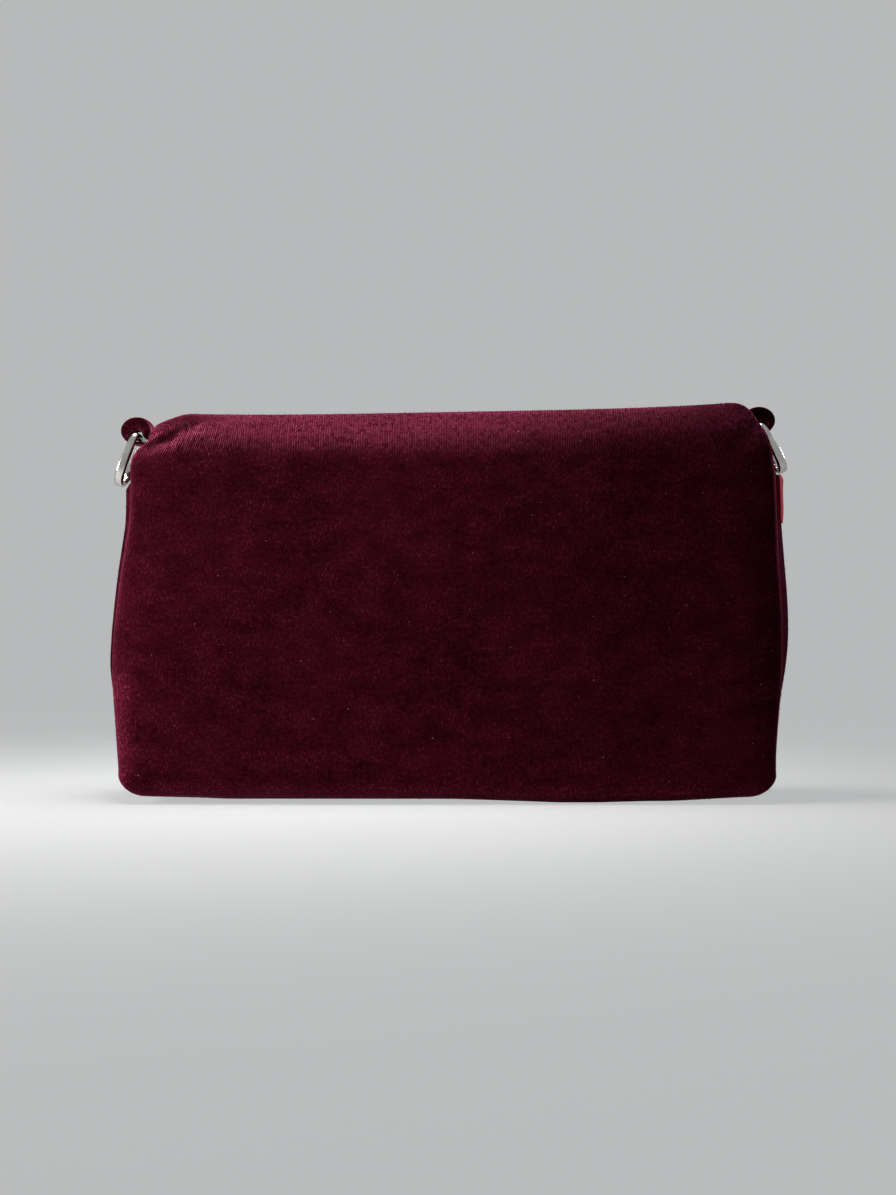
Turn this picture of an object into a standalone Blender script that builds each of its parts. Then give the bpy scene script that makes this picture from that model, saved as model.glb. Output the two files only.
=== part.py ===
"""A velvet flap clutch, standing with its back panel towards -Y and its flap over the front.

The bag is built the way it is sewn. One long velvet strip is the front panel, the base, the back
panel and the flap. Boards and a satin lining follow the same strip on its inside, and two gussets
close the sides. Each gusset carries a velvet tab with a loose D-ring. Lengths are in metres.
"""

import math

import bmesh
import bpy
from mathutils import Euler, Vector

# The outside of the bag.
TOP_HEIGHT = 0.150          # mean height of the rolled top edge
TOP_TILT = 0.002            # how far the right end of the top stands above that, and the left below
BASE_DEPTH = 0.056          # front to back at the table
TOP_DEPTH = 0.033           # front to back over the rolled top
BELLY_HALF_WIDTH = 0.1258   # half the width at the fullest height
BASE_INSET = 0.0038         # how much narrower each end is at the table
SHOULDER_INSET = 0.0040     # and at the shoulders
BELLY_HEIGHT = 0.065
SHOULDER_BELOW_TOP = 0.025  # where the width stops narrowing
BASE_ROLL = 0.008           # radius where base and panels meet
TOP_ROLL = 0.015            # radius of the rolled top
BASE_PINCH = 0.007          # how much narrower the base is at each end
TOP_PINCH = 0.012           # how much narrower the rolled top is at each end
PANEL_BULGE = 0.10          # share by which the soft panels fill out in depth
END_LIFT = 0.0022           # how far the two ends of the base rise off the table
FLAT_BASE = 0.080           # half length of the base that lies flat

# The front and the flap.
MOUTH_BELOW_TOP = 0.022     # top edge of the front panel, under the flap
FLAP_EDGE_HEIGHT = 0.052    # lower edge of the flap
HEM_ROLL = 0.0045           # radius of the turned free edges
HEM_PINCH = 0.004           # rounding of the flap's lower corners
FLAP_PLAY = 0.0006          # space between the closed flap and the front panel

# The layers, from the outside in.
VELVET = 0.0014
BOARD = 0.0016
LINING = 0.0006
PLY_GAP = 0.0003            # space between two layers
SIDE_ROLL = 0.0032          # radius of the turned side edges
BOARD_CORNER = 0.0070       # radius of the boards' corners

# The gussets.
GUSSET_BELOW_TOP = 0.0185   # the gusset's top edge at the back panel
GUSSET_TUCK = 0.0040        # how far the top of the gusset tucks inward
GUSSET_PUFF_LEFT = 0.0026   # how far each gusset fills out below its tuck
GUSSET_PUFF_RIGHT = 0.0048
TUCK_BELOW = 0.0080         # where the tuck begins, below the middle of the gusset's top edge
TUCK_ABOVE = 0.0015         # where it would reach its full depth, above that
TUCK_FLAT = 0.60            # share of the gusset's depth that the tuck's floor takes
TUCK_REACH = 0.97           # share over which its sides come back to the panels
GUSSET_LINING_ROOM = 0.0046 # space for the tab's legs between the tuck and its lining

# The tabs and their D-rings.
TAB_PLY = 0.0012
TAB_WIDTH = 0.011
TAB_LEG = 0.0050            # how far the tab's legs reach down inside the gusset
LEG_GAP = 0.0007            # space between the outer leg and the gusset
LOOP_INSET = 0.0024         # centre of the tab's loop, in from the bag's shoulder
LOOP_ABOVE = 0.0155         # centre of the loop above the middle of the gusset's top edge
LOOP_RADIUS_X = 0.0060
LOOP_RADIUS_Z = 0.0052
RING_WIRE = 0.0030
RING_WIDTH = 0.0190
RING_LENGTH = 0.0220
RING_CORNER = 0.0022
RING_SEAT = 0.0003          # clearance between the bar and the loop it hangs in
RING_Y = -0.0005            # tab and ring, measured from the middle of the bag
RING_TILT_LEFT = 17.0       # how far each ring leans out, in degrees
RING_TILT_RIGHT = 21.5
RING_TURN = 6.0             # how far the near limb of each ring is turned outward, in degrees

# The concealed magnets.
MAGNET_DIAMETER = 0.014
MAGNET_HEIGHT = 0.080       # height of the pair above the table

# The folded satin tab in the right side seam.
RIBBON_HEIGHT = 0.0177      # length along the seam
RIBBON_BELOW = 0.0058       # its upper end, below the middle of the gusset's top edge
RIBBON_PLY = 0.0004
RIBBON_REACH = 0.0065       # how far it lies back over the gusset
RIBBON_STAND = 0.0019       # how far it stands out from the gusset at its upper end
RIBBON_TAPER = 0.0010       # how much closer its lower end lies

COLUMNS = 10                # cells across the flat of each panel
LAYER_COLUMNS = 6           # cells across the boards and the lining behind it

# Widths that follow from the fullest one.
BASE_HALF_WIDTH = BELLY_HALF_WIDTH - BASE_INSET
SHOULDER_HALF_WIDTH = BELLY_HALF_WIDTH - SHOULDER_INSET
LOOP_X = SHOULDER_HALF_WIDTH - LOOP_INSET

# Heights that follow from the top edge.
SHOULDER_HEIGHT = TOP_HEIGHT - SHOULDER_BELOW_TOP
MOUTH_HEIGHT = TOP_HEIGHT - MOUTH_BELOW_TOP

# Depths of the layers below the velvet's face.
BOARD_DEPTH = VELVET + PLY_GAP
LINING_DEPTH = BOARD_DEPTH + BOARD + PLY_GAP
STACK = LINING_DEPTH + LINING
FLAP_OFFSET = STACK + FLAP_PLAY
SEAM_DEPTH = SIDE_ROLL + PLY_GAP            # where the gusset starts, below the velvet's face
GUSSET_BACK = TOP_HEIGHT - GUSSET_BELOW_TOP
GUSSET_FRONT = MOUTH_HEIGHT - HEM_ROLL
GUSSET_TOP = (GUSSET_BACK + GUSSET_FRONT) / 2    # half way between its two edges
TUCK_START, TUCK_END = GUSSET_TOP - TUCK_BELOW, GUSSET_TOP + TUCK_ABOVE
GUSSET_PUFF = {-1: GUSSET_PUFF_LEFT, 1: GUSSET_PUFF_RIGHT}
RING_TILT = {-1: RING_TILT_LEFT, 1: RING_TILT_RIGHT}


def smooth(t):
    """Goes from 0 to 1 with a soft start and end."""
    t = min(1.0, max(0.0, t))
    return t * t * (3 - 2 * t)


def material(name, colour, roughness, metallic=0.0):
    """A plain Principled material."""
    mat = bpy.data.materials.new(name)
    mat.use_nodes = True
    shader = mat.node_tree.nodes["Principled BSDF"]
    shader.inputs["Base Color"].default_value = (*colour, 1.0)
    shader.inputs["Roughness"].default_value = roughness
    shader.inputs["Metallic"].default_value = metallic
    mat.diffuse_color = (*colour, 1.0)
    return mat


def add_object(name, verts, faces, mat, sharp=40.0):
    """Makes a closed mesh object with outward faces and soft shading."""
    mesh = bpy.data.meshes.new(name)
    mesh.from_pydata([tuple(v) for v in verts], [], faces)
    bm = bmesh.new()
    bm.from_mesh(mesh)
    bmesh.ops.recalc_face_normals(bm, faces=bm.faces)
    bm.to_mesh(mesh)
    bm.free()
    mesh.materials.append(mat)
    for polygon in mesh.polygons:
        polygon.use_smooth = True
    mesh.set_sharp_from_angle(angle=math.radians(sharp))
    obj = bpy.data.objects.new(name, mesh)
    bpy.context.scene.collection.objects.link(obj)
    return obj


# The shape that all layers share.

def back_y(z):
    """Face of the back panel at a height."""
    return -(BASE_DEPTH + (TOP_DEPTH - BASE_DEPTH) * z / TOP_HEIGHT) / 2


def front_y(z):
    """Face of the front panel at a height, with room for the flap's layers over it."""
    top = TOP_DEPTH / 2 - FLAP_OFFSET
    return BASE_DEPTH / 2 + (top - BASE_DEPTH / 2) * z / TOP_HEIGHT


def half_width(z):
    """Half the width of the panels: fullest at the belly, drawn in towards table and shoulder."""
    if z < BELLY_HEIGHT:
        end, t = BASE_HALF_WIDTH, (BELLY_HEIGHT - z) / BELLY_HEIGHT
    else:
        end, t = SHOULDER_HALF_WIDTH, (z - BELLY_HEIGHT) / (SHOULDER_HEIGHT - BELLY_HEIGHT)
    share = (1 - math.cos(math.pi * min(1.0, t))) / 2
    return BELLY_HALF_WIDTH + (end - BELLY_HALF_WIDTH) * share


def settle(x, y, z):
    """Moves a point from the neat bag to the used one: filled panels, tilted top, raised ends."""
    across = max(0.0, 1 - (x / BELLY_HALF_WIDTH) ** 2)
    up = math.sin(math.pi * min(1.0, max(0.0, z / TOP_HEIGHT)))
    y *= 1 + PANEL_BULGE * across * up
    end = smooth((abs(x) - FLAT_BASE) / (BASE_HALF_WIDTH - FLAT_BASE))
    lift = END_LIFT * end * (1 - smooth(z / (TOP_HEIGHT / 3)))
    side = max(-1.0, min(1.0, x / (SHOULDER_HALF_WIDTH - TOP_PINCH)))
    tilt = TOP_TILT * side * smooth((z - BELLY_HEIGHT) / (MOUTH_HEIGHT - BELLY_HEIGHT))
    return Vector((x, y, z + lift + tilt))


class Station:
    """One place along the strip: a point of its face, its inward normal and its half width."""

    def __init__(self, point, inward, pinch):
        self.point = point
        self.inward = inward
        self.half = half_width(point.y) - pinch

    def at(self, x, depth):
        """A settled point at this station, with point.x along Y and point.y along Z."""
        p = self.point + self.inward * depth
        return settle(x, p.x, p.y)


def fillet(before, corner, after, radius, pinch_in, pinch_out, steps):
    """Stations round one rounded corner of the strip."""
    a, b = (before - corner).normalized(), (after - corner).normalized()
    half = a.angle(b) / 2
    reach = radius / math.tan(half)
    centre = corner + (a + b).normalized() * (radius / math.sin(half))
    start, end = corner + a * reach - centre, corner + b * reach - centre
    stations = []
    for k in range(steps + 1):
        t = k / steps
        arm = start.slerp(end, t).normalized()
        phase = t * math.pi / 2
        if pinch_out > pinch_in:
            pinch = pinch_in + (pinch_out - pinch_in) * (1 - math.cos(phase))
        else:
            pinch = pinch_out + (pinch_in - pinch_out) * (1 - math.sin(phase))
        stations.append(Station(centre + arm * radius, -arm, pinch))
    return stations


def straight(first, last, cells):
    """Stations between two corners, without the two end ones."""
    stations = []
    for k in range(1, cells):
        t = k / cells
        station = Station(first.point.lerp(last.point, t), first.inward, 0.0)
        if abs(first.point.y - last.point.y) < 1e-6:
            station.half = first.half
        stations.append(station)
    return stations


def strip_runs():
    """The whole strip as named runs of stations: hem, front, base, back, roll, flap, hem."""
    def flap_y(z):
        return front_y(z) + FLAP_OFFSET

    low_front, low_back = Vector((BASE_DEPTH / 2, 0)), Vector((-BASE_DEPTH / 2, 0))
    high_back, high_front = Vector((back_y(TOP_HEIGHT), TOP_HEIGHT)), Vector((flap_y(TOP_HEIGHT), TOP_HEIGHT))
    mouth = Vector((front_y(MOUTH_HEIGHT), MOUTH_HEIGHT))
    edge = Vector((flap_y(FLAP_EDGE_HEIGHT), FLAP_EDGE_HEIGHT))
    square = (low_front - mouth).normalized()
    inward = Vector((square.y, -square.x))
    mouth_in, edge_in = mouth + inward, edge + inward
    corners = [
        fillet(mouth_in, mouth, low_front, HEM_ROLL, 0.0005, 0.0, 4),
        fillet(mouth, low_front, low_back, BASE_ROLL, 0.0, BASE_PINCH, 5),
        fillet(low_front, low_back, high_back, BASE_ROLL, BASE_PINCH, 0.0, 5),
        fillet(low_back, high_back, high_front, TOP_ROLL, 0.0, TOP_PINCH, 7),
        fillet(high_back, high_front, edge, TOP_ROLL, TOP_PINCH, 0.0, 7),
        fillet(high_front, edge, edge_in, HEM_ROLL, 0.0, HEM_PINCH, 4),
    ]
    names = ("front", "base", "back", "top", "flap")
    cells = (8, 4, 9, 1, 6)
    runs = {"mouth_hem": corners[0]}
    for n, name in enumerate(names):
        first, last = corners[n][-1], corners[n + 1][0]
        runs[name] = [first, *straight(first, last, cells[n]), last]
        runs[name + "_corner"] = corners[n + 1]
    return runs


RUNS = strip_runs()


def joined(*names):
    """Several runs of the strip as one list, with shared end stations once."""
    stations = []
    for name in names:
        stations += RUNS[name][1:] if stations else RUNS[name]
    return stations


ALL_RUNS = ("mouth_hem", "front", "front_corner", "base", "base_corner", "back", "back_corner",
            "top", "top_corner", "flap", "flap_corner")


def solid_sheet(name, rows_out, rows_in, mat):
    """Closes two matching grids of points into one thin solid."""
    rows, columns = len(rows_out), len(rows_out[0])
    verts = [p for row in rows_out for p in row] + [p for row in rows_in for p in row]
    inner = rows * columns
    faces = []
    for i in range(rows - 1):
        for j in range(columns - 1):
            a, b = i * columns + j, i * columns + j + 1
            faces.append((a, b, b + columns, a + columns))
            faces.append((inner + a, inner + a + columns, inner + b + columns, inner + b))
    border = [j for j in range(columns - 1)]
    border += [i * columns + columns - 1 for i in range(rows - 1)]
    border += [(rows - 1) * columns + j for j in range(columns - 1, 0, -1)]
    border += [i * columns for i in range(rows - 1, 0, -1)]
    for k, a in enumerate(border):
        b = border[(k + 1) % len(border)]
        faces.append((a, inner + a, inner + b, b))
    return add_object(name, verts, faces, mat)


def turned_profile(half, face, back):
    """Points across a sheet whose side edges turn inward: pairs of x and depth."""
    flat = half - SIDE_ROLL
    radius = SIDE_ROLL - (0.0 if face else VELVET)
    depth = back if not face else 0.0
    middle = [(flat * (2 * j / COLUMNS - 1), depth) for j in range(COLUMNS + 1)]
    arc = []
    for k in range(1, 5):
        a = math.radians(22.5 * k)
        arc.append((flat + radius * math.sin(a), depth + radius * (1 - math.cos(a))))
    return [(-x, d) for x, d in reversed(arc)] + middle + arc


def velvet_wrap(mat):
    """The outer velvet: one sheet from the mouth, round the base and over the top to the flap."""
    stations = joined(*ALL_RUNS)
    rows_out = [[s.at(x, d) for x, d in turned_profile(s.half, True, 0.0)] for s in stations]
    rows_in = [[s.at(x, d) for x, d in turned_profile(s.half, False, VELVET)] for s in stations]
    return solid_sheet("velvet_wrap", rows_out, rows_in, mat)


def plain_layer(name, stations, depth, thickness, inset, mat):
    """A flat layer along part of the strip, between two depths."""
    spread = [2 * j / LAYER_COLUMNS - 1 for j in range(LAYER_COLUMNS + 1)]
    rows_out = [[s.at((s.half - inset) * u, depth) for u in spread] for s in stations]
    rows_in = [[s.at((s.half - inset) * u, depth + thickness) for u in spread] for s in stations]
    return solid_sheet(name, rows_out, rows_in, mat)


def lining_strip(mat):
    """The satin behind the whole strip. Its two ends reach just under the turned hems."""
    stations = joined(*ALL_RUNS[1:-1])
    reach = HEM_ROLL - VELVET - 2 * PLY_GAP
    first = extended(stations[0], stations[1], reach)
    last = extended(stations[-1], stations[-2], reach)
    return plain_layer("lining_strip", [first, *stations, last], LINING_DEPTH, LINING,
                       VELVET + 2 * PLY_GAP, mat)


def extended(end, inside, reach):
    """A station past the end of a straight run, narrowed for the rounded hem."""
    station = Station(end.point + (end.point - inside.point).normalized() * reach, end.inward, 0.0)
    station.half = end.half - HEM_PINCH * 1.6
    return station


def rounded(run, cells):
    """Stations along a straight run, narrowed near both ends to round a board's corners."""
    first, last = RUNS[run][0], RUNS[run][-1]
    length = (last.point - first.point).length
    near = [BOARD_CORNER * share for share in (0.0, 0.08, 0.35, 1.0)]
    places = near + [length * k / cells for k in range(1, cells)] + [length - d for d in near]
    stations = []
    for place in sorted(places):
        station = Station(first.point.lerp(last.point, place / length), first.inward, 0.0)
        if run == "base":
            station.half = first.half
        past = BOARD_CORNER - min(place, length - place, BOARD_CORNER)
        station.half -= BOARD_CORNER - math.sqrt(BOARD_CORNER ** 2 - past ** 2)
        stations.append(station)
    return stations


def boards(mat):
    """The stiff boards behind the flat parts of the strip. The rolled top has none and can bend."""
    made = []
    for run, cells in (("front", 5), ("base", 2), ("back", 6), ("flap", 4)):
        made.append(plain_layer("board_" + run, rounded(run, cells), BOARD_DEPTH, BOARD, SIDE_ROLL, mat))
    return made


# The sides.

def rail(run, height):
    """The station of a straight upright run at a height."""
    for a, b in zip(RUNS[run], RUNS[run][1:]):
        low, high = sorted((a, b), key=lambda s: s.point.y)
        if low.point.y <= height <= high.point.y:
            t = (height - low.point.y) / (high.point.y - low.point.y)
            return Station(low.point.lerp(high.point, t), low.inward, 0.0)
    return max(RUNS[run], key=lambda s: s.point.y)


def gusset_rails(tuck_rows=6):
    """Pairs of stations at the front and the back edge of a gusset, from the base upward."""
    pairs = list(zip(reversed(RUNS["front_corner"]), RUNS["base_corner"]))
    low_front, low_back = pairs[-1][0].point.y, pairs[-1][1].point.y
    low = (low_front + low_back) / 2
    bend = (TUCK_START - low) / (GUSSET_TOP - low)
    shares = [bend * t for t in (0.25, 0.5, 0.75, 0.9, 1.0)]
    shares += [bend + (1 - bend) * k / tuck_rows for k in range(1, tuck_rows + 1)]
    for t in shares:
        pairs.append((rail("front", low_front + (GUSSET_FRONT - low_front) * t),
                      rail("back", low_back + (GUSSET_BACK - low_back) * t)))
    return pairs


def tuck(z):
    """How far the gusset's tuck has come at a height, from 0 to 1."""
    return smooth((z - TUCK_START) / (TUCK_END - TUCK_START))


def gusset_face(side, half, z, t=0.0):
    """Distance of the gusset's face from the middle of the bag; t runs from -1 to 1 in depth."""
    puff = GUSSET_PUFF[side] * (1 - t * t) * smooth(z / BELLY_HEIGHT) * (1 - tuck(z))
    floor = smooth((TUCK_REACH - abs(t)) / (TUCK_REACH - TUCK_FLAT))
    return half + puff - GUSSET_TUCK * floor * tuck(z)


ACROSS = (-1.0, -0.92, -0.82, -0.71, -0.60, -0.3, 0.0, 0.3, 0.60, 0.71, 0.82, 0.92, 1.0)


def gusset_rows(depth, distance):
    """Settled rows of points across a gusset; distance gives x from half width, height and t."""
    rows = []
    for front, back in gusset_rails():
        f = front.point + front.inward * depth
        b = back.point + back.inward * depth
        row = []
        for t in ACROSS:
            share = (t + 1) / 2
            p = b.lerp(f, share)
            half = back.half + (front.half - back.half) * share
            row.append(settle(distance(half, p.y, t), p.x, p.y))
        rows.append(row)
    return rows


def velvet_gusset(side, name, mat):
    """The velvet side panel: filled out below and tucked inward at the top."""
    rows_out = gusset_rows(SEAM_DEPTH, lambda h, z, t: side * gusset_face(side, h, z, t))
    rows_in = gusset_rows(SEAM_DEPTH, lambda h, z, t: side * (gusset_face(side, h, z, t) - VELVET))
    return solid_sheet(name, rows_out, rows_in, mat)


def gusset_lining(side, name, mat):
    """The satin behind a gusset. It hangs straight, with room for the tab's legs."""
    inset = GUSSET_TUCK + VELVET + GUSSET_LINING_ROOM
    depth = STACK + PLY_GAP
    rows_out = gusset_rows(depth, lambda h, z, t: side * (h - inset))
    rows_in = gusset_rows(depth, lambda h, z, t: side * (h - inset - LINING))
    return solid_sheet(name, rows_out, rows_in, mat)


# The tabs and rings.

def loop_centre():
    """Centre of a tab's loop on the neat bag, as distance from the middle and height."""
    return Vector((LOOP_X, GUSSET_TOP + LOOP_ABOVE))


def ring_place(side):
    """Where a ring's bar lies: at the bottom of the loop's inside."""
    centre = loop_centre()
    drop = LOOP_RADIUS_Z - TAB_PLY - RING_WIRE / 2 - RING_SEAT
    return settle(side * centre.x, RING_Y, centre.y - drop)


def bezier(a, b, c, d, steps):
    """Points along one curve, without its first."""
    out = []
    for k in range(1, steps + 1):
        t = k / steps
        out.append(a * (1 - t) ** 3 + b * 3 * t * (1 - t) ** 2 + c * 3 * t * t * (1 - t) + d * t ** 3)
    return out


def leg(side, offset):
    """Points up one leg of the tab, at a distance inside the gusset's inner face."""
    points = []
    for k in range(5):
        z = GUSSET_TOP - TAB_LEG * (1 - k / 4)
        step = 0.0002
        here, above = (gusset_face(side, half_width(h), h, TUCK_FLAT) - VELVET for h in (z, z + step))
        along = Vector((above - here, step)).normalized()
        points.append(Vector((here, z)) + Vector((-along.y, along.x)) * offset)
    return points


def tab_line(side):
    """The middle line of the tab's ply: up the inner leg, over and round the loop, down the outer."""
    centre = loop_centre()
    a, b = LOOP_RADIUS_X - TAB_PLY / 2, LOOP_RADIUS_Z - TAB_PLY / 2
    outer = leg(side, LEG_GAP + TAB_PLY / 2)
    inner = leg(side, LEG_GAP + PLY_GAP + TAB_PLY * 1.5)
    crown = centre + Vector((-a * 0.25, b * 0.97))
    under = centre + Vector((-a * 0.25, -b * 0.97))
    rise = crown.y - inner[-1].y
    width = crown.x - inner[-1].x
    line = list(inner)
    line += bezier(inner[-1], inner[-1] + Vector((-0.25 * width, 0.50 * rise)),
                   crown + Vector((-1.30 * width, -0.04 * rise)), crown, 7)
    for k in range(1, 10):
        angle = math.radians(104 - 208 * k / 10)
        line.append(centre + Vector((a * math.cos(angle), b * math.sin(angle))))
    line += bezier(under, under + Vector((-0.9 * a * 0.5, 0.0)),
                   outer[-1] + Vector((0.0, 0.45 * (under.y - outer[-1].y))), outer[-1], 4)[:-1]
    return line + outer[::-1]


def offset_line(line, distance):
    """A line moved sideways by a distance."""
    moved = []
    for k, p in enumerate(line):
        before, after = line[max(0, k - 1)], line[min(len(line) - 1, k + 1)]
        along = (after - before).normalized()
        moved.append(p + Vector((-along.y, along.x)) * distance)
    return moved


def ribbon_solid(name, left, right, place, levels, mat):
    """Sweeps a thin outline, given by its two sides, through levels along the third direction."""
    outline = left + right[::-1]
    count = len(outline)
    verts = [place(p, level) for level in levels for p in outline]
    faces = []
    for n in range(len(levels) - 1):
        for k in range(count):
            a, b = n * count + k, n * count + (k + 1) % count
            faces.append((a, b, b + count, a + count))
    half = len(left)
    for base in (0, (len(levels) - 1) * count):
        for k in range(half - 1):
            faces.append((base + k, base + k + 1, base + count - 2 - k, base + count - 1 - k))
    return add_object(name, verts, faces, mat)


def tab(side, name, mat):
    """A velvet strip looped round the ring's bar, its two ends held inside the gusset's top."""
    line = tab_line(side)
    lift = settle(side * LOOP_X, 0.0, TOP_HEIGHT).z - TOP_HEIGHT

    def place(p, y):
        return Vector((side * p.x, y, p.y + lift))
    levels = [RING_Y - TAB_WIDTH / 2, RING_Y, RING_Y + TAB_WIDTH / 2]
    return ribbon_solid(name, offset_line(line, TAB_PLY / 2), offset_line(line, -TAB_PLY / 2),
                        place, levels, mat)


def d_line():
    """The closed middle line of a D-ring, in its own plane: bar along Y at height 0, bow below."""
    half = (RING_WIDTH - RING_WIRE) / 2
    drop = RING_LENGTH - RING_WIRE - half
    points = []
    for k in range(4):
        a = math.radians(90 - 30 * k)
        points.append(Vector((0, half - RING_CORNER + RING_CORNER * math.cos(a),
                              -RING_CORNER + RING_CORNER * math.sin(a))))
    for k in range(13):
        a = math.pi * k / 12
        points.append(Vector((0, half * math.cos(a), -drop - half * math.sin(a))))
    for k in range(4):
        a = math.radians(180 - 30 * k)
        points.append(Vector((0, -half + RING_CORNER + RING_CORNER * math.cos(a),
                              -RING_CORNER + RING_CORNER * math.sin(a))))
    points.append(Vector((0, 0, 0)))
    return points


def d_ring(side, name, mat, sides=8):
    """A bent wire ring whose origin lies on its bar, the axis it swings on."""
    line = d_line()
    count = len(line)
    across = Vector((1, 0, 0))
    verts = []
    for k, p in enumerate(line):
        along = (line[(k + 1) % count] - line[k - 1]).normalized()
        outward = along.cross(across)
        for n in range(sides):
            a = 2 * math.pi * n / sides
            verts.append(p + (across * math.cos(a) + outward * math.sin(a)) * (RING_WIRE / 2))
    faces = []
    for k in range(count):
        for n in range(sides):
            a, b = k * sides + n, k * sides + (n + 1) % sides
            c, d = ((k + 1) % count) * sides + (n + 1) % sides, ((k + 1) % count) * sides + n
            faces.append((a, b, c, d))
    ring = add_object(name, verts, faces, mat, sharp=60.0)
    ring.location = ring_place(side)
    lean = Euler((0.0, -side * math.radians(RING_TILT[side]), 0.0)).to_matrix()
    turn = Euler((0.0, 0.0, side * math.radians(RING_TURN))).to_matrix()
    ring.rotation_euler = (turn @ lean).to_euler()
    return ring


# The closure and the side tab.

def magnet(run, name, mat, sides=24):
    """A flat disc magnet lying in the hole of a board."""
    station = rail(run, MAGNET_HEIGHT)
    along = Vector((-station.inward.y, station.inward.x))
    rings = []
    for depth in (BOARD_DEPTH, BOARD_DEPTH + BOARD):
        ring = []
        for n in range(sides):
            a = 2 * math.pi * n / sides
            radius = MAGNET_DIAMETER / 2
            p = station.point + along * (radius * math.sin(a)) + station.inward * depth
            ring.append(settle(radius * math.cos(a), p.x, p.y))
        rings.append(ring)
    faces = [tuple(range(sides)), tuple(range(sides, 2 * sides))]
    faces += [(n, (n + 1) % sides, sides + (n + 1) % sides, sides + n) for n in range(sides)]
    return add_object(name, rings[0] + rings[1], faces, mat)


def magnet_hole(board, run, sides=24):
    """Cuts the magnet's hole through a board."""
    station = rail(run, MAGNET_HEIGHT)
    centre = station.point + station.inward * (BOARD_DEPTH + BOARD / 2)
    where = settle(0.0, centre.x, centre.y)
    bpy.ops.mesh.primitive_cylinder_add(vertices=sides, radius=MAGNET_DIAMETER / 2 + PLY_GAP,
                                        depth=BOARD * 4, location=where)
    cutter = bpy.context.object
    cutter.name = board.name + "_hole"
    cutter.rotation_euler = Vector((0, station.inward.x, station.inward.y)).to_track_quat("Z", "X").to_euler()
    cutter.hide_render = True
    cutter.display_type = "WIRE"
    hole = board.modifiers.new("magnet hole", "BOOLEAN")
    hole.operation = "DIFFERENCE"
    hole.solver = "EXACT"
    hole.object = cutter
    return cutter


def seam_ribbon(name, mat):
    """A short folded ribbon caught in the right back seam, lying back over the gusset."""
    high = GUSSET_TOP - RIBBON_BELOW
    low = high - RIBBON_HEIGHT
    line = []
    fold = RIBBON_PLY * 1.5 + PLY_GAP
    for k in range(5):
        t = k / 4
        line.append(Vector((RIBBON_STAND * math.sin(t * math.pi * 0.55), RIBBON_REACH * t)))
    for k in range(1, 4):
        a = math.radians(90 - 45 * k)
        line.append(line[4] + Vector((-fold / 2 + fold / 2 * math.sin(a),
                                      fold / 2 * math.cos(a))))
    for k in range(4, -1, -1):
        p = line[k]
        line.append(Vector((p.x - fold, p.y)))

    def place(p, z):
        station = rail("back", z)
        start = station.point + station.inward * SEAM_DEPTH
        share = (high - z) / RIBBON_HEIGHT
        out = p.x - RIBBON_TAPER * share * p.y / RIBBON_REACH
        front = rail("front", z)
        depth = (front.point + front.inward * SEAM_DEPTH).x - start.x
        face = gusset_face(1, half_width(z), z, 2 * p.y / depth - 1)
        return settle(face + PLY_GAP + RIBBON_PLY / 2 + fold + out, start.x + p.y, z)
    levels = [low + RIBBON_HEIGHT * k / 4 for k in range(5)]
    return ribbon_solid(name, offset_line(line, RIBBON_PLY / 2), offset_line(line, -RIBBON_PLY / 2),
                        place, levels, mat)


def main():
    for obj in list(bpy.data.objects):
        bpy.data.objects.remove(obj, do_unlink=True)
    velvet = material("burgundy velvet", (0.085, 0.010, 0.028), 0.85)
    satin = material("red satin", (0.36, 0.012, 0.03), 0.35)
    board = material("grey board", (0.32, 0.30, 0.28), 0.80)
    nickel = material("polished nickel", (0.72, 0.70, 0.66), 0.18, 1.0)
    steel = material("magnet steel", (0.45, 0.45, 0.46), 0.40, 1.0)
    velvet_wrap(velvet)
    lining_strip(satin)
    layers = {obj.name: obj for obj in boards(board)}
    for run in ("front", "flap"):
        magnet(run, "magnet_" + run, steel)
        magnet_hole(layers["board_" + run], run)
    for side, word in ((-1, "left"), (1, "right")):
        velvet_gusset(side, "gusset_" + word, velvet)
        gusset_lining(side, "gusset_lining_" + word, satin)
        tab(side, "tab_" + word, velvet)
        d_ring(side, "d_ring_" + word, nickel)
    seam_ribbon("seam_ribbon", satin)


main()
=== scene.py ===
# %% [markdown]
# # A burgundy velvet clutch, seen from its back
# The packed part gives the sizes, the joints and the places. This script dresses it: every soft
# piece is made again as finer cloth in the space of its plain solid, and every piece gets a
# material worked out from nodes. All lengths are in metres, in the part's own frame.
# %% Load the packed part
import math

import bmesh
import bpy
import numpy as np
from mathutils import Euler, Matrix, Vector


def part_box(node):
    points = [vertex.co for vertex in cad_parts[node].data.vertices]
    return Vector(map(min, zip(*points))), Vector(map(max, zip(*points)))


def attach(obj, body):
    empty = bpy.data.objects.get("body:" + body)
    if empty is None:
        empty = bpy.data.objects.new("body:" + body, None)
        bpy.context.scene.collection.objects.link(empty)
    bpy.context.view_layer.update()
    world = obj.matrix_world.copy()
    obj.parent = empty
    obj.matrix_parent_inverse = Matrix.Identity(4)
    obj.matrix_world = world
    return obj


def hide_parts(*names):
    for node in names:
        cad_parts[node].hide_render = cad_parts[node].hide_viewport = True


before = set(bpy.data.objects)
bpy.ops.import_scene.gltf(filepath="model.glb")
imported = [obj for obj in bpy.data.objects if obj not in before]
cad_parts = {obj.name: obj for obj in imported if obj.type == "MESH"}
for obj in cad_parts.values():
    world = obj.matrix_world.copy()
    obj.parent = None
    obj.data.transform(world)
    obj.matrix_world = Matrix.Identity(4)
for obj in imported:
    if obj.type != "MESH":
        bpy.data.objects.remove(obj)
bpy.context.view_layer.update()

scene = bpy.context.scene
scene.view_settings.view_transform = "Standard"

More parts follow.
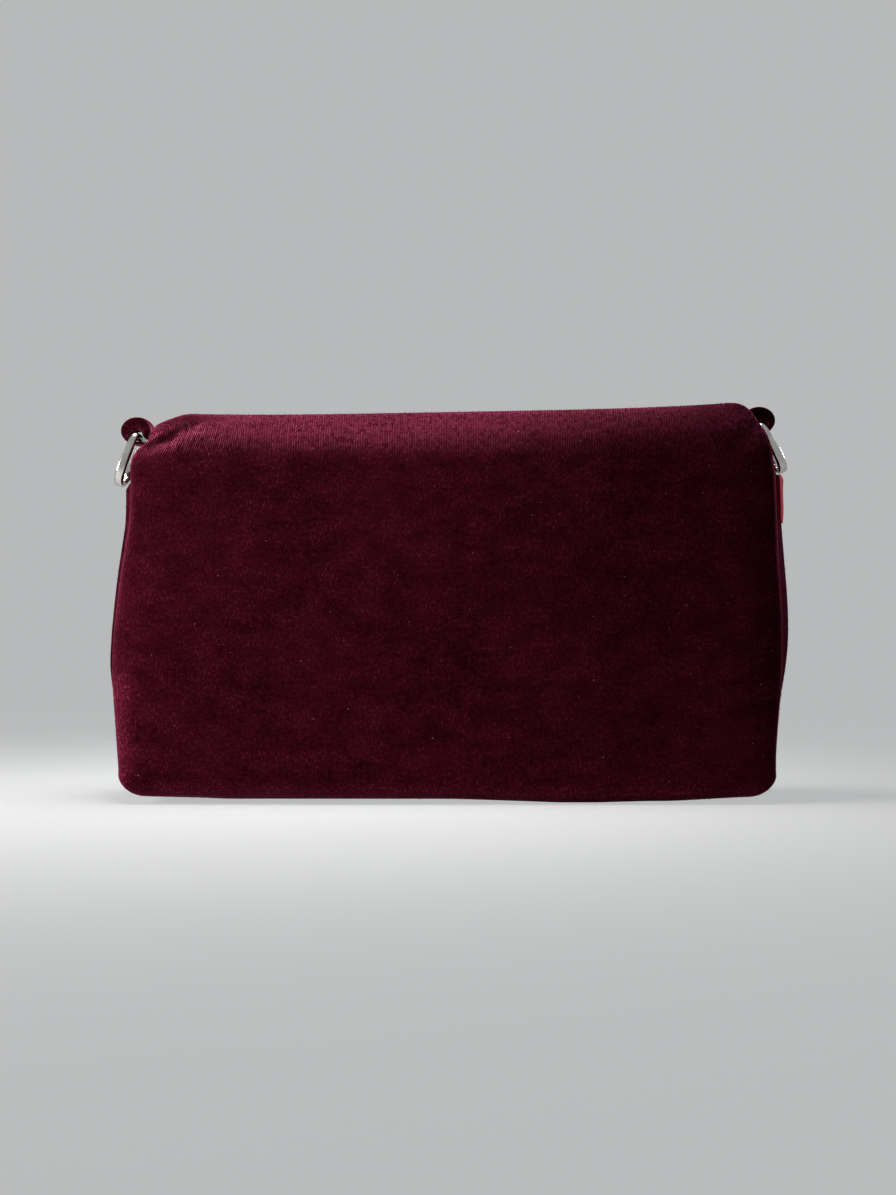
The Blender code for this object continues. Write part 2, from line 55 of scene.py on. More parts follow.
# %% [markdown]
# ## The camera
# The bag was photographed level, from its plain back, a little above the middle of its height.
# The lines of the base and of the top run level across the picture, so the camera looks straight
# along +Y with no tilt and no shift. The lens follows from how wide the bag stands in the frame.
# %% The camera
CAMERA_PLACE = (0.0, -0.678, 0.077)
camera = bpy.data.objects.new("camera", bpy.data.cameras.new("camera"))
camera.data.lens = 52.8
camera.data.clip_start, camera.data.clip_end = 0.01, 20.0
camera.location = CAMERA_PLACE
camera.rotation_euler = (math.radians(90), 0.0, 0.0)
scene.collection.objects.link(camera)
scene.camera = camera
print("camera at", CAMERA_PLACE)

# %% [markdown]
# ## The sizes of the bag
# A clutch like this is one long strip. It starts at the mouth behind the flap, runs down the
# front, under the base, up the back, over the rolled top and down again as the flap. These are
# the numbers of the part's source, so that each finer piece lies where its solid lies.
# %% The sizes of the bag
TOP_HEIGHT, TOP_TILT = 0.150, 0.002
SHOULDER_BELOW_TOP, MOUTH_BELOW_TOP, GUSSET_BELOW_TOP = 0.025, 0.022, 0.0185
BELLY_HALF, BELLY_HEIGHT, BASE_INSET, SHOULDER_INSET = 0.1258, 0.065, 0.0038, 0.0040
BASE_DEPTH, TOP_DEPTH, FLAP_EDGE = 0.056, 0.033, 0.052
BASE_ROLL, TOP_ROLL, HEM_ROLL, SIDE_ROLL = 0.008, 0.015, 0.0045, 0.0032
BASE_PINCH, TOP_PINCH, HEM_PINCH, MOUTH_PINCH = 0.007, 0.012, 0.004, 0.0005
PANEL_BULGE, END_LIFT, FLAT_BASE = 0.10, 0.0022, 0.080
VELVET, BOARD, LINING, PLY_GAP, FLAP_PLAY = 0.0014, 0.0016, 0.0006, 0.0003, 0.0006
TUCK, TUCK_BELOW, TUCK_ABOVE, TUCK_FLAT, TUCK_REACH = 0.0040, 0.0080, 0.0015, 0.60, 0.97
GUSSET_PUFF = {-1: 0.0026, 1: 0.0048}
SIDES = {-1: "left", 1: "right"}

BASE_HALF, SHOULDER_HALF = BELLY_HALF - BASE_INSET, BELLY_HALF - SHOULDER_INSET
SHOULDER_HEIGHT, MOUTH_HEIGHT = TOP_HEIGHT - SHOULDER_BELOW_TOP, TOP_HEIGHT - MOUTH_BELOW_TOP
BOARD_DEPTH = VELVET + PLY_GAP
LINING_DEPTH = BOARD_DEPTH + BOARD + PLY_GAP
STACK = LINING_DEPTH + LINING
FLAP_OFFSET = STACK + FLAP_PLAY
SEAM_DEPTH = SIDE_ROLL + PLY_GAP
GUSSET_BACK, GUSSET_FRONT = TOP_HEIGHT - GUSSET_BELOW_TOP, MOUTH_HEIGHT - HEM_ROLL
GUSSET_TOP = (GUSSET_BACK + GUSSET_FRONT) / 2
TUCK_START, TUCK_END = GUSSET_TOP - TUCK_BELOW, GUSSET_TOP + TUCK_ABOVE


def smooth(t):
    """Goes from 0 to 1 with a soft start and end."""
    t = np.clip(t, 0.0, 1.0)
    return t * t * (3 - 2 * t)


def ramp(value, start, end):
    """Goes softly from 0 at the start to 1 at the end, upward or downward."""
    return smooth((value - start) / (end - start))


def half_width(z):
    """Half the width of the panels at a height."""
    fall = np.clip((BELLY_HEIGHT - z) / BELLY_HEIGHT, 0, 1)
    rise = np.clip((z - BELLY_HEIGHT) / (SHOULDER_HEIGHT - BELLY_HEIGHT), 0, 1)
    low = BELLY_HALF + (BASE_HALF - BELLY_HALF) * (1 - np.cos(np.pi * fall)) / 2
    high = BELLY_HALF + (SHOULDER_HALF - BELLY_HALF) * (1 - np.cos(np.pi * rise)) / 2
    return np.where(np.asarray(z) < BELLY_HEIGHT, low, high)


print("half width at the table, belly and shoulder:",
      [round(float(half_width(z)) * 1000, 1) for z in (0, BELLY_HEIGHT, SHOULDER_HEIGHT)])

# %% [markdown]
# ## How the used bag differs from the neat one
# Boards keep the panels fairly flat, but velvet is soft: it fills out between the edges, sags
# along the rolled top, lifts off the table at the ends and dents where a tab pulls at a corner.
# Each of these is one small move of a point. All the cloth layers go through the same moves, so
# they stay nested in each other, which separate hand-made dents in each layer would not. The
# first moves are those that the solids have as well.
# %% The moves that the solids have
def neat_settle(x, y, z):
    """Filled panels, tilted top, raised ends."""
    across = np.maximum(0.0, 1 - (x / BELLY_HALF) ** 2)
    y = y * (1 + PANEL_BULGE * across * np.sin(np.pi * np.clip(z / TOP_HEIGHT, 0, 1)))
    lift = END_LIFT * ramp(np.abs(x), FLAT_BASE, BASE_HALF) * ramp(z, TOP_HEIGHT / 3, 0.0)
    side = np.clip(x / (SHOULDER_HALF - TOP_PINCH), -1, 1)
    return x, y, z + lift + TOP_TILT * side * ramp(z, BELLY_HEIGHT, MOUTH_HEIGHT)


right_top = neat_settle(SHOULDER_HALF, 0.0, TOP_HEIGHT)[2]
print("the top's right end stands at", round(float(right_top) * 1000, 1), "mm")

# %% [markdown]
# The outline of this one bag is a little fuller in one place and slimmer in another. By how much
# is read off the photograph at a few heights on each side, and the values between are joined up.
# Above the shoulders the unboarded corners are crushed inward, the left one more.
# %% Moves of the outline
EDGE_FROM, EDGE_FULL = 0.070, 0.115        # a point belongs to the side edge from here outward
EDGE_Z = (0.005, 0.016, 0.027, 0.038, 0.050, 0.061, 0.072, 0.084, 0.095, 0.106, 0.114, 0.121, 0.128)
LEFT_IN = (-0.0020, -0.0020, -0.0018, -0.0014, -0.0009, 0.0001, 0.0006, 0.0008, 0.0010, 0.0012,
           0.0007, 0.0003, 0.0)
RIGHT_OUT = (0.0006, 0.0002, 0.0002, 0.0003, 0.0003, 0.0003, 0.0003, 0.0004, 0.0007, 0.0011,
             0.0013, 0.0012, 0.0003)
SHOULDER_OUT, SHOULDER_FROM, SHARE_OFF_PANEL = 0.0011, 0.080, 0.35
LEFT_BELLY, LEFT_BELLY_Z, LEFT_BELLY_SPREAD = 0.0010, 0.050, 0.020
LEFT_FOOT, LEFT_FOOT_UP_TO = 0.0006, 0.024
LEFT_CRUSH, RIGHT_CRUSH = (0.0054, 0.1285, 0.1450), (0.0036, 0.1290, 0.1430)     # how far, from, to


def hump(t):
    """A soft bump, 1 at 0 and almost 0 from 2 on."""
    return np.exp(-np.asarray(t) ** 2)


def outline_move(x, z, face):
    """How far a point moves along x; face is 1 on a panel and 0 on the sides between them."""
    edge = ramp(np.abs(x), EDGE_FROM, EDGE_FULL)
    left, right = edge * (x < 0), edge * (x > 0)
    shoulder = SHOULDER_OUT * ramp(z, SHOULDER_FROM, SHOULDER_HEIGHT)
    move = shoulder * edge * (SHARE_OFF_PANEL + (1 - SHARE_OFF_PANEL) * face)
    move = move - left * LEFT_BELLY * hump((z - LEFT_BELLY_Z) / LEFT_BELLY_SPREAD)
    move = move + left * LEFT_FOOT * ramp(z, LEFT_FOOT_UP_TO, 0.0)
    move = move + left * np.interp(z, EDGE_Z, LEFT_IN) + right * face * np.interp(z, EDGE_Z, RIGHT_OUT)
    for at, (far, low, high) in ((left, LEFT_CRUSH), (-right, RIGHT_CRUSH)):
        move = move + at * face * far * ramp(z, low, high)
    return move


print("left edge at mid height moves by", round(float(outline_move(-BELLY_HALF, 0.075, 1.0)) * 1000, 2), "mm")

# %% [markdown]
# Upward and downward, the top sags between its ends, the crushed left corner drops, and the back
# edge of the base bows off the table as the photograph shows it.
# %% Moves up and down
TOP_SAG, SAG_HALF, SAG_FROM = 0.0016, 0.108, 0.112
CORNER_DROP, DROP_X, DROP_Z = 0.0040, (0.0985, 0.1135), (0.130, 0.147)
BACK_LIFT_X = (-0.122, -0.109, -0.090, -0.070, -0.040, 0.0, 0.020, 0.041, 0.056, 0.075, 0.093, 0.117)
BACK_LIFT = (0.0003, 0.0005, 0.0017, 0.0021, 0.0019, 0.0015, 0.0008, 0.0, 0.0, 0.0005, 0.0006, 0.0001)
BACK_LIFT_Y, BACK_LIFT_UP_TO = (0.006, 0.022), 0.022


def height_move(x, y, z, moved_x):
    """How far a point moves up; the corner's drop follows where the outline has gone."""
    sag = TOP_SAG * np.maximum(0, 1 - np.abs(x / SAG_HALF) ** 4) * ramp(z, SAG_FROM, TOP_HEIGHT)
    drop = (x < 0) * CORNER_DROP * ramp(-moved_x, *DROP_X) * ramp(z, *DROP_Z)
    lift = np.interp(x, BACK_LIFT_X, BACK_LIFT) * ramp(-y, *BACK_LIFT_Y) * ramp(z, BACK_LIFT_UP_TO, 0.0)
    return lift - sag - drop


print("middle of the top sags by", round(-float(height_move(0.0, 0.0, TOP_HEIGHT, 0.0)) * 1000, 2), "mm")

# %% [markdown]
# In depth, the band above the board leans back and shows as a paler strip, the side edges round
# off softly toward the middle of the bag, and a tab's pull leaves short dents at the corners.
# %% Moves in depth
BAND_X = (-0.122, -0.105, -0.085, -0.060, -0.020, 0.020, 0.050, 0.080, 0.122)
BAND_LEAN = (0.03, 0.06, 0.14, 0.26, 0.28, 0.23, 0.13, 0.05, 0.0)    # how far the band leans, per height
BAND_FROM, BAND_SOFT, BAND_MOST = 0.1318, 0.0011, 0.0115
ROUND_FROM, ROUND_FULL, ROUND_LEFT, ROUND_RIGHT = 0.1085, 0.1250, 0.0040, 0.0022
LOW_ROUND_FROM, LOW_ROUND_FULL, LOW_ROUND, LOW_ROUND_Z = 0.1110, 0.1235, 0.0032, (0.070, 0.040)
ROUND_ABOVE = 0.012
DENTS = (                                  # depth, start and end in x and z, width
    (0.0020, (-0.1145, 0.1333), (-0.1060, 0.1366), 0.0021),
    (0.0020, (-0.1060, 0.1366), (-0.0960, 0.1422), 0.0025),
    (0.0006, (-0.1165, 0.1345), (-0.1060, 0.1312), 0.0019),
    (0.0007, (0.1170, 0.1420), (0.1080, 0.1345), 0.0028),
    (0.0005, (-0.1080, 0.0060), (-0.0960, 0.0160), 0.0050),
)
WAVES, WAVES_OUT = 0.00022, 0.0001         # the panels' faint unevenness, and its middle


def crease(x, z, start, end, width):
    """How near a point is to a line on the panel, from 0 far away to 1 on it."""
    ax, az = start
    bx, bz = end
    t = np.clip(((x - ax) * (bx - ax) + (z - az) * (bz - az)) / ((bx - ax) ** 2 + (bz - az) ** 2), 0, 1)
    return hump(np.hypot(x - ax - t * (bx - ax), z - az - t * (bz - az)) / width)


def inward_move(x, z):
    """How far a panel's face moves toward the middle of the bag near its side edges."""
    outer = np.clip((np.abs(x) - ROUND_FROM) / (ROUND_FULL - ROUND_FROM), 0, 1) ** 2
    low = np.clip((np.abs(x) - LOW_ROUND_FROM) / (LOW_ROUND_FULL - LOW_ROUND_FROM), 0, 1) ** 2
    low = (x < 0) * LOW_ROUND * low * ramp(z, *LOW_ROUND_Z)
    return (np.where(x < 0, ROUND_LEFT, ROUND_RIGHT) * outer + low) * ramp(z, 0.0, ROUND_ABOVE)


def band_lean(x, z):
    """How far the top band leans back: none below it, and no more past the start of the roll."""
    over = z - BAND_FROM
    over = (over + np.sqrt(over ** 2 + BAND_SOFT ** 2)) / 2
    return np.interp(x, BAND_X, BAND_LEAN) * np.minimum(over, BAND_MOST)


def waves(x, z):
    """Faint unevenness of a soft panel."""
    long_ = np.sin(61 * x + 33 * z + 1.0) * np.sin(27 * x - 58 * z + 2.0)
    short = np.sin(118 * x + 74 * z + 0.4) * np.sin(-49 * x + 131 * z)
    return WAVES * (long_ + 0.6 * short) + WAVES_OUT


def settled(x, y, z):
    """A point of the neat bag, moved to where it is on the photographed one."""
    x, y, z = (np.asarray(v, float) for v in np.broadcast_arrays(x, y, z))
    face, back = ramp(np.abs(y), 0.006, 0.014), ramp(-y, 0.004, 0.014)
    new_x, new_y, new_z = neat_settle(x, y, z)
    new_x = new_x + outline_move(x, z, face)
    new_z = new_z + height_move(x, y, z, new_x)
    dent = sum(depth * crease(new_x, new_z, start, end, width) for depth, start, end, width in DENTS)
    new_y = new_y + back * (band_lean(x, z) + dent)
    new_y = new_y + np.sign(-y) * face * (inward_move(x, z) + waves(x, z))
    return np.stack([new_x, new_y, new_z], -1)


print("back corner at the left, settled:", np.round(settled(-0.11, -0.017, 0.14) * 1000, 1))

# %% [markdown]
# ## The path of the strip
# Seen from the side, the strip is a line of straight runs joined by arcs. A station is one place
# along that line: where it is, which way is inward, and how much narrower the strip is there.
# Rounding a corner of the line and narrowing the strip together is what makes the soft, pulled
# in corners of a turned bag. A sweep along a curve would give square ends instead.
# %% One rounded corner of the strip
STEP, ARC_STEP = 0.0025, 0.0016


def fillet(before, corner, after, radius, pinch_in, pinch_out):
    """Stations round one corner: rows of y, z, inward y, inward z, pinch."""
    before, corner, after = (np.asarray(p, float) for p in (before, corner, after))
    a, b = (before - corner), (after - corner)
    a, b = a / np.linalg.norm(a), b / np.linalg.norm(b)
    half = math.acos(float(np.dot(a, b))) / 2
    centre = corner + (a + b) / np.linalg.norm(a + b) * (radius / math.sin(half))
    start = (corner + a * radius / math.tan(half) - centre) / radius
    end = (corner + b * radius / math.tan(half) - centre) / radius
    angle = math.acos(float(np.clip(np.dot(start, end), -1, 1)))
    steps = max(6, round(radius * angle / ARC_STEP))
    rows = []
    for k in range(steps + 1):
        t = k / steps
        arm = (start * math.sin((1 - t) * angle) + end * math.sin(t * angle)) / math.sin(angle)
        phase = t * math.pi / 2
        if pinch_out > pinch_in:
            pinch = pinch_in + (pinch_out - pinch_in) * (1 - math.cos(phase))
        else:
            pinch = pinch_out + (pinch_in - pinch_out) * (1 - math.sin(phase))
        rows.append((*(centre + arm * radius), *-arm, pinch))
    return rows


square_turn = fillet((0.0, 0.1), (0.0, 0.0), (0.1, 0.0), BASE_ROLL, 0.0, 0.0)
print("a square corner with the base's radius has", len(square_turn), "stations")

# %% [markdown]
# The corners themselves follow from the sizes: the panels lean toward each other as they rise,
# and the flap lies outside the front panel by all the layers between them. Each straight run is
# divided evenly, so that the cloth has cells of nearly one size everywhere.
# %% The runs of the strip
def strip_runs():
    """The whole strip as named runs of stations, from the mouth's hem to the flap's."""
    def back_y(z):
        return -(BASE_DEPTH + (TOP_DEPTH - BASE_DEPTH) * z / TOP_HEIGHT) / 2

    def front_y(z):
        return BASE_DEPTH / 2 + (TOP_DEPTH / 2 - FLAP_OFFSET - BASE_DEPTH / 2) * z / TOP_HEIGHT

    def flap_y(z):
        return front_y(z) + FLAP_OFFSET

    low_front, low_back = (BASE_DEPTH / 2, 0.0), (-BASE_DEPTH / 2, 0.0)
    high_back, high_front = (back_y(TOP_HEIGHT), TOP_HEIGHT), (flap_y(TOP_HEIGHT), TOP_HEIGHT)
    mouth, edge = (front_y(MOUTH_HEIGHT), MOUTH_HEIGHT), (flap_y(FLAP_EDGE), FLAP_EDGE)
    square = Vector((low_front[0] - mouth[0], low_front[1] - mouth[1])).normalized()
    inward = (square.y, -square.x)
    mouth_in, edge_in = ((p[0] + inward[0], p[1] + inward[1]) for p in (mouth, edge))
    corners = [
        fillet(mouth_in, mouth, low_front, HEM_ROLL, MOUTH_PINCH, 0.0),
        fillet(mouth, low_front, low_back, BASE_ROLL, 0.0, BASE_PINCH),
        fillet(low_front, low_back, high_back, BASE_ROLL, BASE_PINCH, 0.0),
        fillet(low_back, high_back, high_front, TOP_ROLL, 0.0, TOP_PINCH),
        fillet(high_back, high_front, edge, TOP_ROLL, TOP_PINCH, 0.0),
        fillet(high_front, edge, edge_in, HEM_ROLL, 0.0, HEM_PINCH),
    ]
    runs = {"mouth_hem": np.array(corners[0])}
    for n, name in enumerate(("front", "base", "back", "top", "flap")):
        first, last = np.array(corners[n][-1]), np.array(corners[n + 1][0])
        cells = max(1, round(float(np.hypot(*(last - first)[:2])) / STEP))
        runs[name] = first + (last - first) * np.linspace(0, 1, cells + 1)[:, None]
        runs[name + "_corner"] = np.array(corners[n + 1])
    return runs


RUNS = strip_runs()
print("stations in each run:", {name: len(run) for name, run in RUNS.items()})

# %% [markdown]
# The velvet covers all the runs, the lining all but the hems. So runs are joined by name, and the
# distance along them is how far a place lies from the end of the flat, uncut strip.
# %% The whole strip
def joined(*names):
    """Several runs of the strip as one array, with shared end stations once."""
    return np.vstack([RUNS[n] if k == 0 else RUNS[n][1:] for k, n in enumerate(names)])


def along(stations):
    """Distance of each station from the first, measured along the strip."""
    steps = np.hypot(*np.diff(stations[:, :2], axis=0).T)
    return np.concatenate([[0.0], np.cumsum(steps)])


STRIP = joined("mouth_hem", "front", "front_corner", "base", "base_corner", "back", "back_corner",
               "top", "top_corner", "flap", "flap_corner")
print("stations:", len(STRIP), "strip length:", round(float(along(STRIP)[-1]) * 1000), "mm")

# %% [markdown]
# ## Turning grids of points into closed cloth
# Cloth has a thickness, so each sheet is two grids of points, one for each face, closed round
# the rim. Every vertex also keeps where it lies on the flat cloth, in metres, in a UV map called
# "cloth": the woven patterns read it, so a rib keeps its real pitch round every bend.
# %% Sheets and pieces
def add_piece(name, points, faces, cloth=None):
    """A mesh object at the origin with outward faces, soft shading and its flat cloth map."""
    mesh = bpy.data.meshes.new(name)
    mesh.from_pydata(np.asarray(points, float).reshape(-1, 3).tolist(), [], faces)
    if cloth is not None:
        layer = mesh.uv_layers.new(name="cloth")
        corner = np.zeros(len(mesh.loops), np.int32)
        mesh.loops.foreach_get("vertex_index", corner)
        layer.data.foreach_set("uv", np.asarray(cloth, np.float32).reshape(-1, 2)[corner].ravel())
    bm = bmesh.new()
    bm.from_mesh(mesh)
    bmesh.ops.recalc_face_normals(bm, faces=bm.faces)
    bm.to_mesh(mesh)
    bm.free()
    mesh.polygons.foreach_set("use_smooth", [True] * len(mesh.polygons))
    obj = bpy.data.objects.new(name, mesh)
    scene.collection.objects.link(obj)
    return obj


def cloth_sheet(name, outer, inner, flat):
    """Two matching grids closed into one thin piece; flat is a grid of places on the cut cloth."""
    rows, columns = outer.shape[:2]
    index = np.arange(rows * columns).reshape(rows, columns)
    a, b = index[:-1, :-1].ravel(), index[:-1, 1:].ravel()
    c, d = index[1:, 1:].ravel(), index[1:, :-1].ravel()
    n = rows * columns
    faces = np.stack([a, b, c, d], 1).tolist() + np.stack([n + a, n + d, n + c, n + b], 1).tolist()
    rim = [*index[0, :-1], *index[:-1, -1], *index[-1, :0:-1], *index[:0:-1, 0]]
    faces += [(int(p), int(n + p), int(n + q), int(q)) for p, q in zip(rim, rim[1:] + rim[:1])]
    return add_piece(name, np.concatenate([outer.reshape(-1, 3), inner.reshape(-1, 3)]), faces,
                     np.concatenate([flat.reshape(-1, 2)] * 2))


def station_grid(stations, offset, depth):
    """Settled points at each station for arrays of offset across and depth below the face."""
    y = stations[:, 0, None] + stations[:, 2, None] * depth
    z = stations[:, 1, None] + stations[:, 3, None] * depth
    return settled(offset, y, z)


middle_row = station_grid(RUNS["back"], np.zeros((len(RUNS["back"]), 1)), 0.0)
print("middle of the back panel, low and high:", np.round(middle_row[[0, -1], 0] * 1000, 1).tolist())

# %% [markdown]
# ## The velvet shell
# The outside of the bag is one piece of velvet from the mouth to the flap's hem. Its long edges
# turn inward over the boards in a small roll, which is why the bag has no raw or sewn edge to
# see. The roll is an arc at the end of every row of points.
# %% The velvet shell
PANEL_COLUMNS, TURN_ROWS = 93, 7


def turned_row(half, face):
    """Offsets across and depths of one row whose two ends turn inward."""
    flat = half - SIDE_ROLL
    radius, depth = (SIDE_ROLL, 0.0) if face else (SIDE_ROLL - VELVET, VELVET)
    spread = np.linspace(-1, 1, PANEL_COLUMNS)
    bend = np.radians(np.linspace(0, 90, TURN_ROWS + 1)[1:])
    x = np.concatenate([-(flat + radius * np.sin(bend))[::-1], flat * spread, flat + radius * np.sin(bend)])
    turn = depth + radius * (1 - np.cos(bend))
    return x, np.concatenate([turn[::-1], np.full(len(spread), depth), turn])


def velvet_shell():
    """The whole outer velvet as one sheet."""
    half = half_width(STRIP[:, 1]) - STRIP[:, 4]
    on_table = np.isclose(STRIP[:, 3], 1.0) & (STRIP[:, 1] < 0.001)
    half = np.where(on_table, BASE_HALF - BASE_PINCH, half)
    outer, inner = [], []
    for face, keep in ((True, outer), (False, inner)):
        rows = [turned_row(h, face) for h in half]
        keep.append(station_grid(STRIP, np.array([r[0] for r in rows]), np.array([r[1] for r in rows])))
    across = np.array([turned_row(h, True)[0] for h in half])
    length = np.repeat(along(STRIP)[:, None], across.shape[1], 1)
    return cloth_sheet("velvet_shell", outer[0], inner[0], np.stack([across, length], -1)), outer[0]


shell, shell_face = velvet_shell()
print("velvet shell:", len(shell.data.polygons), "faces")

# %% [markdown]
# ## The boards
# Four stiff boards give the bag its flat faces. Their corners are rounded so that they don't wear
# through the velvet. They go through the same moves as the cloth over them, and the front and
# flap boards have a round hole each for a magnet, cut with an exact Boolean as a punch would.
# %% The boards
BOARD_CORNER, BOARD_EASE, MAGNET, PUNCH_DEPTH = 0.0070, 0.0008, 0.014, 0.02


def board(run):
    """One board behind a straight run of the strip, with rounded corners."""
    first, last = RUNS[run][0], RUNS[run][-1]
    length = float(np.hypot(*(last - first)[:2]))
    near = BOARD_CORNER * (1 - np.cos(np.radians(np.linspace(0, 90, 7))))
    plain = np.linspace(near[-1], length - near[-1], 14)
    place = np.unique(np.round(np.concatenate([near, plain, length - near]), 6))
    stations = first + (last - first) * (place / length)[:, None]
    half = half_width(stations[:, 1]) if run != "base" else np.full(len(place), BASE_HALF - BASE_PINCH)
    past = BOARD_CORNER - np.clip(np.minimum(place, length - place), 0.0, BOARD_CORNER)
    half = half - SIDE_ROLL - BOARD_EASE - BOARD_CORNER + np.sqrt(BOARD_CORNER ** 2 - past ** 2)
    x = half[:, None] * np.linspace(-1, 1, 25)
    flat = np.stack([x, np.broadcast_to(place[:, None], x.shape)], -1)
    return cloth_sheet("fibre_board_" + run, station_grid(stations, x, BOARD_DEPTH),
                       station_grid(stations, x, BOARD_DEPTH + BOARD), flat)


def punch(piece, node):
    """Cuts the round hole for a magnet through a board, a little wider than the magnet."""
    low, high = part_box(node)
    cutter = bpy.data.objects.new("punch", bpy.data.meshes.new("punch"))
    bm = bmesh.new()
    radius = MAGNET / 2 + PLY_GAP
    bmesh.ops.create_cone(bm, cap_ends=True, segments=48, radius1=radius, radius2=radius, depth=PUNCH_DEPTH)
    bm.to_mesh(cutter.data)
    bm.free()
    cutter.data.transform(Euler((math.radians(90), 0, 0)).to_matrix().to_4x4())
    cutter.data.transform(Matrix.Translation((low + high) / 2))
    scene.collection.objects.link(cutter)
    hole = piece.modifiers.new("hole", "BOOLEAN")
    hole.operation, hole.solver, hole.object = "DIFFERENCE", "EXACT", cutter
    plain = bpy.data.meshes.new_from_object(piece.evaluated_get(bpy.context.evaluated_depsgraph_get()))
    piece.modifiers.clear()
    piece.data = plain
    bpy.data.objects.remove(cutter)


boards = {run: board(run) for run in ("front", "base", "back", "flap")}
for run in ("front", "flap"):
    punch(boards[run], "magnet_" + run)
print("boards:", {k: len(o.data.polygons) for k, o in boards.items()})

# %% [markdown]
# ## The satin lining
# Behind the boards lies a thin satin that follows the same path. It isn't stretched, so it
# ripples a little, always toward the inside, where it has room.
# %% The satin lining
LINING_RIPPLE, HEM_NARROWING, LINING_COLUMNS = 0.00016, 1.6, 61


def satin_lining():
    """The satin behind the whole strip, ending under the two turned hems."""
    stations = joined("front", "front_corner", "base", "base_corner", "back", "back_corner",
                      "top", "top_corner", "flap")
    reach = HEM_ROLL - VELVET - 2 * PLY_GAP
    ends = []
    for first, second in ((stations[0], stations[1]), (stations[-1], stations[-2])):
        step = (first[:2] - second[:2]) / np.linalg.norm(first[:2] - second[:2])
        ends.append([*(first[:2] + step * reach), first[2], first[3], HEM_PINCH * HEM_NARROWING])
    stations = np.vstack([ends[0], stations, ends[1]])
    half = half_width(stations[:, 1]) - stations[:, 4] - VELVET - 2 * PLY_GAP
    half = np.where(stations[:, 1] < 0.001, BASE_HALF - BASE_PINCH - VELVET - 2 * PLY_GAP, half)
    spread = np.linspace(-1, 1, LINING_COLUMNS)
    x = half[:, None] * spread
    s = along(stations)[:, None] + 0 * x
    ripple = 1 + np.sin(210 * x + 35 * s) * np.sin(55 * s + 1.3 + 8 * x)
    ripple = LINING_RIPPLE * ripple * ramp(np.abs(spread), 1.0, 0.85)
    outer = station_grid(stations, x, LINING_DEPTH + ripple)
    inner = station_grid(stations, x, LINING_DEPTH + LINING + ripple)
    return cloth_sheet("satin_lining", outer, inner, np.stack([x, s], -1))


lining = satin_lining()
print("satin lining:", len(lining.data.polygons), "faces")

# %% [markdown]
# ## The velvet sides
# A gusset of velvet without a board closes each end. It fills out below, and at the top it tucks
# inward, because the tab that carries the ring is sewn behind it. The edges are fixed to the
# turned edges of the panels, so the form is worked out between two rails, one on each panel.
# %% The rails of the sides
SIDE_ROWS = 56


def rail(run, height):
    """y, z, inward y, inward z of an upright run at the given heights."""
    stations = RUNS[run][np.argsort(RUNS[run][:, 1])]
    return np.stack([np.interp(height, stations[:, 1], stations[:, k]) for k in range(4)], -1)


def side_rails(rows):
    """Matching places on the front and the back rail, from the base upward."""
    count = min(len(RUNS["front_corner"]), len(RUNS["base_corner"]))
    pick = np.linspace(0, 1, count)
    front = RUNS["front_corner"][::-1][np.round(pick * (len(RUNS["front_corner"]) - 1)).astype(int)]
    back = RUNS["base_corner"][np.round(pick * (len(RUNS["base_corner"]) - 1)).astype(int)]
    t = np.linspace(0, 1, rows + 1)[1:]
    up_front = front[-1, 1] + (GUSSET_FRONT - front[-1, 1]) * t
    up_back = back[-1, 1] + (GUSSET_BACK - back[-1, 1]) * t
    front_half = np.concatenate([half_width(front[:, 1]) - front[:, 4], half_width(up_front)])
    back_half = np.concatenate([half_width(back[:, 1]) - back[:, 4], half_width(up_back)])
    front = np.vstack([front[:, :4], rail("front", up_front)])
    back = np.vstack([back[:, :4], rail("back", up_back)])
    return front, back, front_half, back_half


print("rows up a side:", len(side_rails(SIDE_ROWS)[0]))

# %% [markdown]
# Between the rails the face is a rule: how far out it lies at a height and at a share of the
# depth. The velvet adds slack folds to it, and the satin behind keeps clear of the tab's legs. A
# grid of such distances is then closed into cloth, like every other sheet.
# %% The velvet sides and their lining
SIDE_COLUMNS, SATIN_COLUMNS = 37, 25
FOLD_DEPTH, SATIN_RIPPLE, LEG_ROOM = 0.00035, 0.00025, 0.0046


def side_face(side, half, z, t):
    """Distance of a gusset's face from the middle of the bag; t runs from -1 to 1 in depth."""
    tuck = smooth((z - TUCK_START) / (TUCK_END - TUCK_START))
    puff = GUSSET_PUFF[side] * (1 - t * t) * smooth(z / BELLY_HEIGHT) * (1 - tuck)
    return half + puff - TUCK * smooth((TUCK_REACH - np.abs(t)) / (TUCK_REACH - TUCK_FLAT)) * tuck


def side_grid(side, depth, distance, columns):
    """Settled points across a gusset and their places on the flat cloth."""
    front, back, front_half, back_half = side_rails(SIDE_ROWS)
    t = np.sin(np.linspace(-math.pi / 2, math.pi / 2, columns))
    share = (t + 1) / 2
    f = front[:, :2] + front[:, 2:4] * depth
    b = back[:, :2] + back[:, 2:4] * depth
    y = b[:, 0, None] + (f[:, 0] - b[:, 0])[:, None] * share
    z = b[:, 1, None] + (f[:, 1] - b[:, 1])[:, None] * share
    half = back_half[:, None] + (front_half - back_half)[:, None] * share
    grid = settled(side * distance(half, z, t), y, z)
    return grid, np.stack([y, z], -1)


def side_folds(z, t, side):
    """Shallow slack in the unboarded side: soft upright folds that die out at the seams."""
    slack = np.sin(3.3 * t + 0.7 * side) * np.sin(z * 36 + 1.2) + 0.5 * np.sin(7 * t + 60 * z)
    return FOLD_DEPTH * slack * (1 - t * t) * ramp(z, 0.0, 0.030) * ramp(z, 0.116, 0.100)


def velvet_distance(side, below):
    """The rule for how far out the velvet of a side lies, at a depth below its face."""
    return lambda half, z, t: side_face(side, half, z, t) + side_folds(z, t, side) - below


